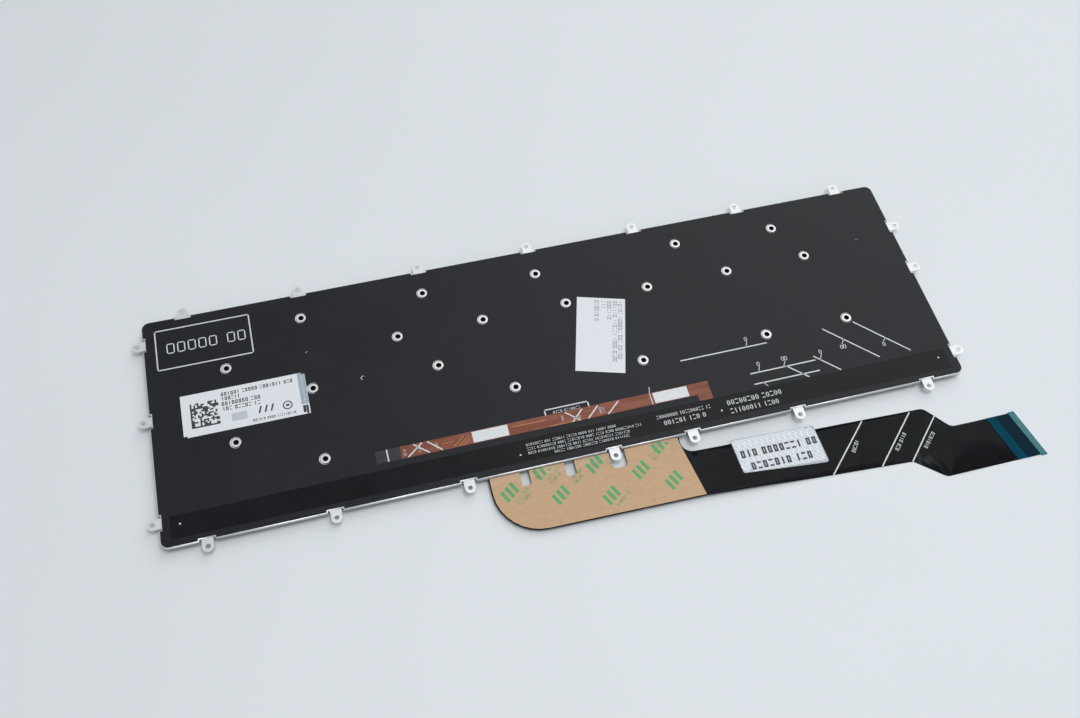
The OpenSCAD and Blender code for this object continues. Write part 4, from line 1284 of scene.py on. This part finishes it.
class KEYBOARD_OT_tail(Operator):
    """Build the flexible tail with its liner, sticker, prints and contact end"""

    bl_idname = "keyboard.tail"
    bl_label = "Flexible tail"

    def execute(self, context):
        tail = settings("tail")
        slots = [slot_outline(*s) for s in SLOTS]
        film = film_piece("tail_film", rounded_outline(TAIL_CORNERS), slots, 0, tail.film, tail_film())
        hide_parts("flex_tail")
        finish_node("tail_liner", tape_liner())
        finish_node("tail_stiffener", blue_film())
        finish_node("tail_contacts", plated_contact())
        outline = rounded_outline(STICKER_CORNERS, 4)
        sticker = film_piece("tail_sticker_film", outline, [], tail.film, STICKER, silver_sticker())
        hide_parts("tail_sticker")
        self.liner_marks()
        self.run_marks()
        self.sticker_marks()
        self.contact_end()
        return {"FINISHED"}

    def liner_marks(self):
        """Groups of slanted green bars, each over two rows of fine print where the liner has room for them."""
        marks = Ink()
        places = (
            (-35.5, -63.5), (-15.5, -69.5), (-20.5, -57.2), (1.5, -59.5), (4.5, -74.5), (19.5, -66.5), (30.5, -57.5),
            (31.5, -74.0),
        )
        along = Vector((0.80, 0.60))
        across = Vector((-0.60, 0.80))
        for i, (x, y) in enumerate(places):
            corner = Vector((x, y))
            for bar in range(3):
                start = corner + along * 2.7 * bar
                end = start + across * 3.6 + along * 0.6
                marks.strokes(1.5 * MM, (*start, *end))
            for row, length in enumerate((8.5, 6.5)):
                if i % 2:
                    start = corner + along * 10 + across * (2 - 2 * row)
                else:
                    start = corner + along - across * (3.4 + 2.0 * row)
                end = start + along * length
                if -39 < start.x and end.x < 38 and -77 < start.y and end.y < -53.5:
                    marks.turned_rows([(*start, *end)], 1.2, seed=80 + 2 * i + row)
        marks.drape(settings("tail").film + settings("tail").liner + settings("print").lift)
        marks.finish("liner_marks", plain_ink("green_print", settings("finish").green_ink))

    def run_marks(self):
        """Three white lines across the run, each with a row of print."""
        marks = Ink()
        steps = 10
        for xa, ya, xb, yb in ((99.1, -83.6, 120.3, -63.2), (120.8, -84.7, 142.1, -64.1), (134.3, -85.7, 152.3, -68.0)):
            points = [(xa + (xb - xa) * s / steps, ya + (yb - ya) * s / steps) for s in range(steps + 1)]
            marks.strokes(settings("print").line, *((*start, *end) for start, end in zip(points, points[1:])))
        rows = ((111.7, -76.4, 115.6, -71.6), (130.2, -79.9, 137.4, -72.6), (142.7, -81.7, 149.9, -75.0))
        marks.turned_rows(rows, 1.6, seed=120)
        marks.drape(settings("tail").film + settings("print").lift)
        marks.finish("run_lines", plain_ink("run_white", settings("finish").white_ink))

    def sticker_marks(self):
        """Two rows of tall black print over a fine white hatch."""
        top = settings("tail").film + STICKER
        lift = settings("print").lift
        hatch = Ink()
        steps = 4
        for i in range(15):
            x = 61.5 + 2.6 * i
            for lean in (3.2, -3.2):
                start, end = Vector((x, -76.0 - 0.045 * (x - 62))), Vector((x + lean, -60.6))
                for j in range(steps):
                    a, b = start.lerp(end, (j + 0.15) / steps), start.lerp(end, (j + 0.85) / steps)
                    if 62.8 < min(a.x, b.x) and max(a.x, b.x) < 98.2 and a.y > -74.8 - 0.06 * (a.x - 62):
                        hatch.strokes(0.25 * MM, (*a, *b))
        hatch.drape(top + lift)
        hatch.finish("sticker_hatch", plain_ink("hatch_white", (0.76, 0.79, 0.82), 0.35))
        rows = Ink()
        rows.rows([(63.6, 98.0, -68.3, 3.3), (66.3, 95.6, -74.3, 3.3)], seed=140, weight=0.24)
        rows.drape(top + 2 * lift)
        rows.finish("sticker_rows", plain_ink("sticker_black", settings("finish").black_ink))

    def contact_end(self):
        """The dark band over the stiffener and the teal ground of the contacts."""
        low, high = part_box("tail_stiffener")
        lean, contact, ground_edge = 5 * MM, 3 * MM, 0.45 * MM

        def band(start, end, z, edge=0.0):
            """A slanted band, measured back from the tail's end."""
            y0, y1 = low.y - edge, high.y + edge
            tip = TAIL[1].x
            mesh = bmesh.new()
            add_face(mesh, [(tip - start, y0), (tip - end, y0), (tip - lean - end, y1), (tip - lean - start, y1)], z)
            return mesh

        lift = settings("print").lift
        dark = plain_ink("stiffener_ink", (0.0010, 0.017, 0.030), 0.3, Specular_IOR_Level=0.04)
        new_piece("stiffener_band", band(9.3 * MM, contact, high.z + lift), dark)
        teal = plain_ink("contact_teal", (0.002, 0.145, 0.17), 0.35, Specular_IOR_Level=0.3)
        new_piece("contact_ground", band(contact, 0, settings("tail").film + lift, ground_edge), teal)


# Where each softbox stands and how wide it is, in metres, and its power in watts
SOFTBOXES = (
    ("back_softbox", (1.08, 1.15, 1.475), 2.1, 19.0),
    ("top_softbox", (0.17, -0.22, 1.5), 0.8, 12.5),
    ("front_softbox", (0.1, -1.3, 0.7), 0.9, 2.2),
)
ROOM_COLOUR = (0.93, 0.96, 1.0, 1.0)
ROOM_STRENGTH = 0.24
TABLE_HALF = 4.0  # half the table's side, in metres


class KEYBOARD_OT_stage(Operator):
    """Set up the table, the lights and the camera"""

    bl_idname = "keyboard.stage"
    bl_label = "Stage"

    def execute(self, context):
        self.table()
        self.lights()
        self.camera()
        context.scene.view_settings.view_transform = "Standard"
        return {"FINISHED"}

    def table(self):
        mesh = bmesh.new()
        bmesh.ops.create_grid(mesh, x_segments=2, y_segments=2, size=TABLE_HALF)
        data = bpy.data.meshes.new("table")
        mesh.to_mesh(data)
        mesh.free()
        paint = Paint("table_top", settings("stage").floor, 0.6, Specular_IOR_Level=0.2)
        paint.shade(paint.noise(0.25, 2.0), 0.99, 1.01)
        self.fade(paint)
        data.materials.append(paint.material)
        table = bpy.data.objects.new("table", data)
        bpy.context.scene.collection.objects.link(table)

    def fade(self, paint):
        """Far from the part the table stays as pale as it is near it, to the camera and in reflections."""
        stage = settings("stage")
        away = paint.add("ShaderNodeVectorMath", operation="LENGTH")
        paint.link(paint.place, away.inputs[0])
        far = paint.add("ShaderNodeMapRange", interpolation_type="SMOOTHSTEP")
        paint.link(away.outputs["Value"], far.inputs["Value"])
        far.inputs["From Min"].default_value = stage.fade_from
        far.inputs["From Max"].default_value = stage.fade_to
        seen = paint.add("ShaderNodeMath", operation="MULTIPLY")
        paint.link(far.outputs["Result"], seen.inputs[0])
        paint.link(background_rays(paint.tree), seen.inputs[1])
        glow = paint.add("ShaderNodeEmission")
        glow.inputs["Color"].default_value = (*stage.horizon, 1.0)
        mix = paint.add("ShaderNodeMixShader")
        paint.link(seen.outputs["Value"], mix.inputs["Fac"])
        paint.link(paint.shader.outputs["BSDF"], mix.inputs[1])
        paint.link(glow.outputs["Emission"], mix.inputs[2])
        paint.link(mix.outputs["Shader"], paint.tree.nodes["Material Output"].inputs["Surface"])

    def lights(self):
        world = bpy.data.worlds.new("studio")
        world.use_nodes = True
        tree = world.node_tree
        room = tree.nodes["Background"]
        room.inputs["Color"].default_value = ROOM_COLOUR
        room.inputs["Strength"].default_value = ROOM_STRENGTH
        backdrop = tree.nodes.new("ShaderNodeBackground")
        backdrop.inputs["Color"].default_value = (*settings("stage").horizon, 1.0)
        mix = tree.nodes.new("ShaderNodeMixShader")
        tree.links.new(background_rays(tree), mix.inputs["Fac"])
        tree.links.new(room.outputs["Background"], mix.inputs[1])
        tree.links.new(backdrop.outputs["Background"], mix.inputs[2])
        tree.links.new(mix.outputs["Shader"], tree.nodes["World Output"].inputs["Surface"])
        bpy.context.scene.world = world
        for softbox in SOFTBOXES:
            self.lamp(*softbox)

    def lamp(self, name, place, side, watts):
        """A square softbox that faces the middle of the part."""
        lamp = bpy.data.lights.new(name, "AREA")
        lamp.shape = "SQUARE"
        lamp.size = side
        lamp.energy = watts
        holder = bpy.data.objects.new(name, lamp)
        holder.location = place
        holder.rotation_euler = (-Vector(place)).to_track_quat("-Z", "Y").to_euler()
        bpy.context.scene.collection.objects.link(holder)

    def camera(self):
        stage = settings("stage")
        data = bpy.data.cameras.new("camera")
        data.sensor_width = 36.0
        data.lens = stage.focal
        data.clip_start = 0.01
        camera = bpy.data.objects.new("camera", data)
        place = Matrix.Translation((stage.camera_x, stage.camera_y, stage.camera_z))
        for turned, axis in ((stage.heading, "Z"), (stage.pitch, "X"), (stage.roll, "Z")):
            place = place @ Matrix.Rotation(turned, 4, axis)
        camera.matrix_world = place
        bpy.context.scene.collection.objects.link(camera)
        bpy.context.scene.camera = camera


class KEYBOARD_PT_panel(Panel):
    """The keyboard's sizes, colours and steps"""

    bl_idname = "KEYBOARD_PT_panel"
    bl_label = "Keyboard"
    bl_space_type = "VIEW_3D"
    bl_region_type = "UI"
    bl_category = "Keyboard"

    def draw(self, context):
        for group in GROUPS:
            box = self.layout.box()
            box.label(text=group.title())
            values = settings(group)
            for name in values.__annotations__:
                box.prop(values, name)
        for operator in OPERATORS:
            self.layout.operator(operator.bl_idname)


GROUPS = {
    "plate": PlateSettings,
    "grid": KeyGridSettings,
    "mechanism": MechanismSettings,
    "print": PrintSettings,
    "tail": TailSettings,
    "finish": FinishSettings,
    "stage": StageSettings,
}
OPERATORS = (
    KEYBOARD_OT_plate_layers,
    KEYBOARD_OT_keycaps,
    KEYBOARD_OT_domes,
    KEYBOARD_OT_levers,
    KEYBOARD_OT_wires,
    KEYBOARD_OT_light_strip,
    KEYBOARD_OT_back_prints,
    KEYBOARD_OT_labels,
    KEYBOARD_OT_tail,
    KEYBOARD_OT_stage,
)
CLASSES = (*GROUPS.values(), *OPERATORS, KEYBOARD_PT_panel)


def register():
    for cls in CLASSES:
        bpy.utils.register_class(cls)
    for name, group in GROUPS.items():
        setattr(bpy.types.Scene, "keyboard_" + name, PointerProperty(type=group))


def unregister():
    for name in GROUPS:
        delattr(bpy.types.Scene, "keyboard_" + name)
    for cls in reversed(CLASSES):
        bpy.utils.unregister_class(cls)


def main():
    register()
    for operator in OPERATORS:
        area, name = operator.bl_idname.split(".")
        getattr(getattr(bpy.ops, area), name)()


if __name__ == "__main__":
    main()
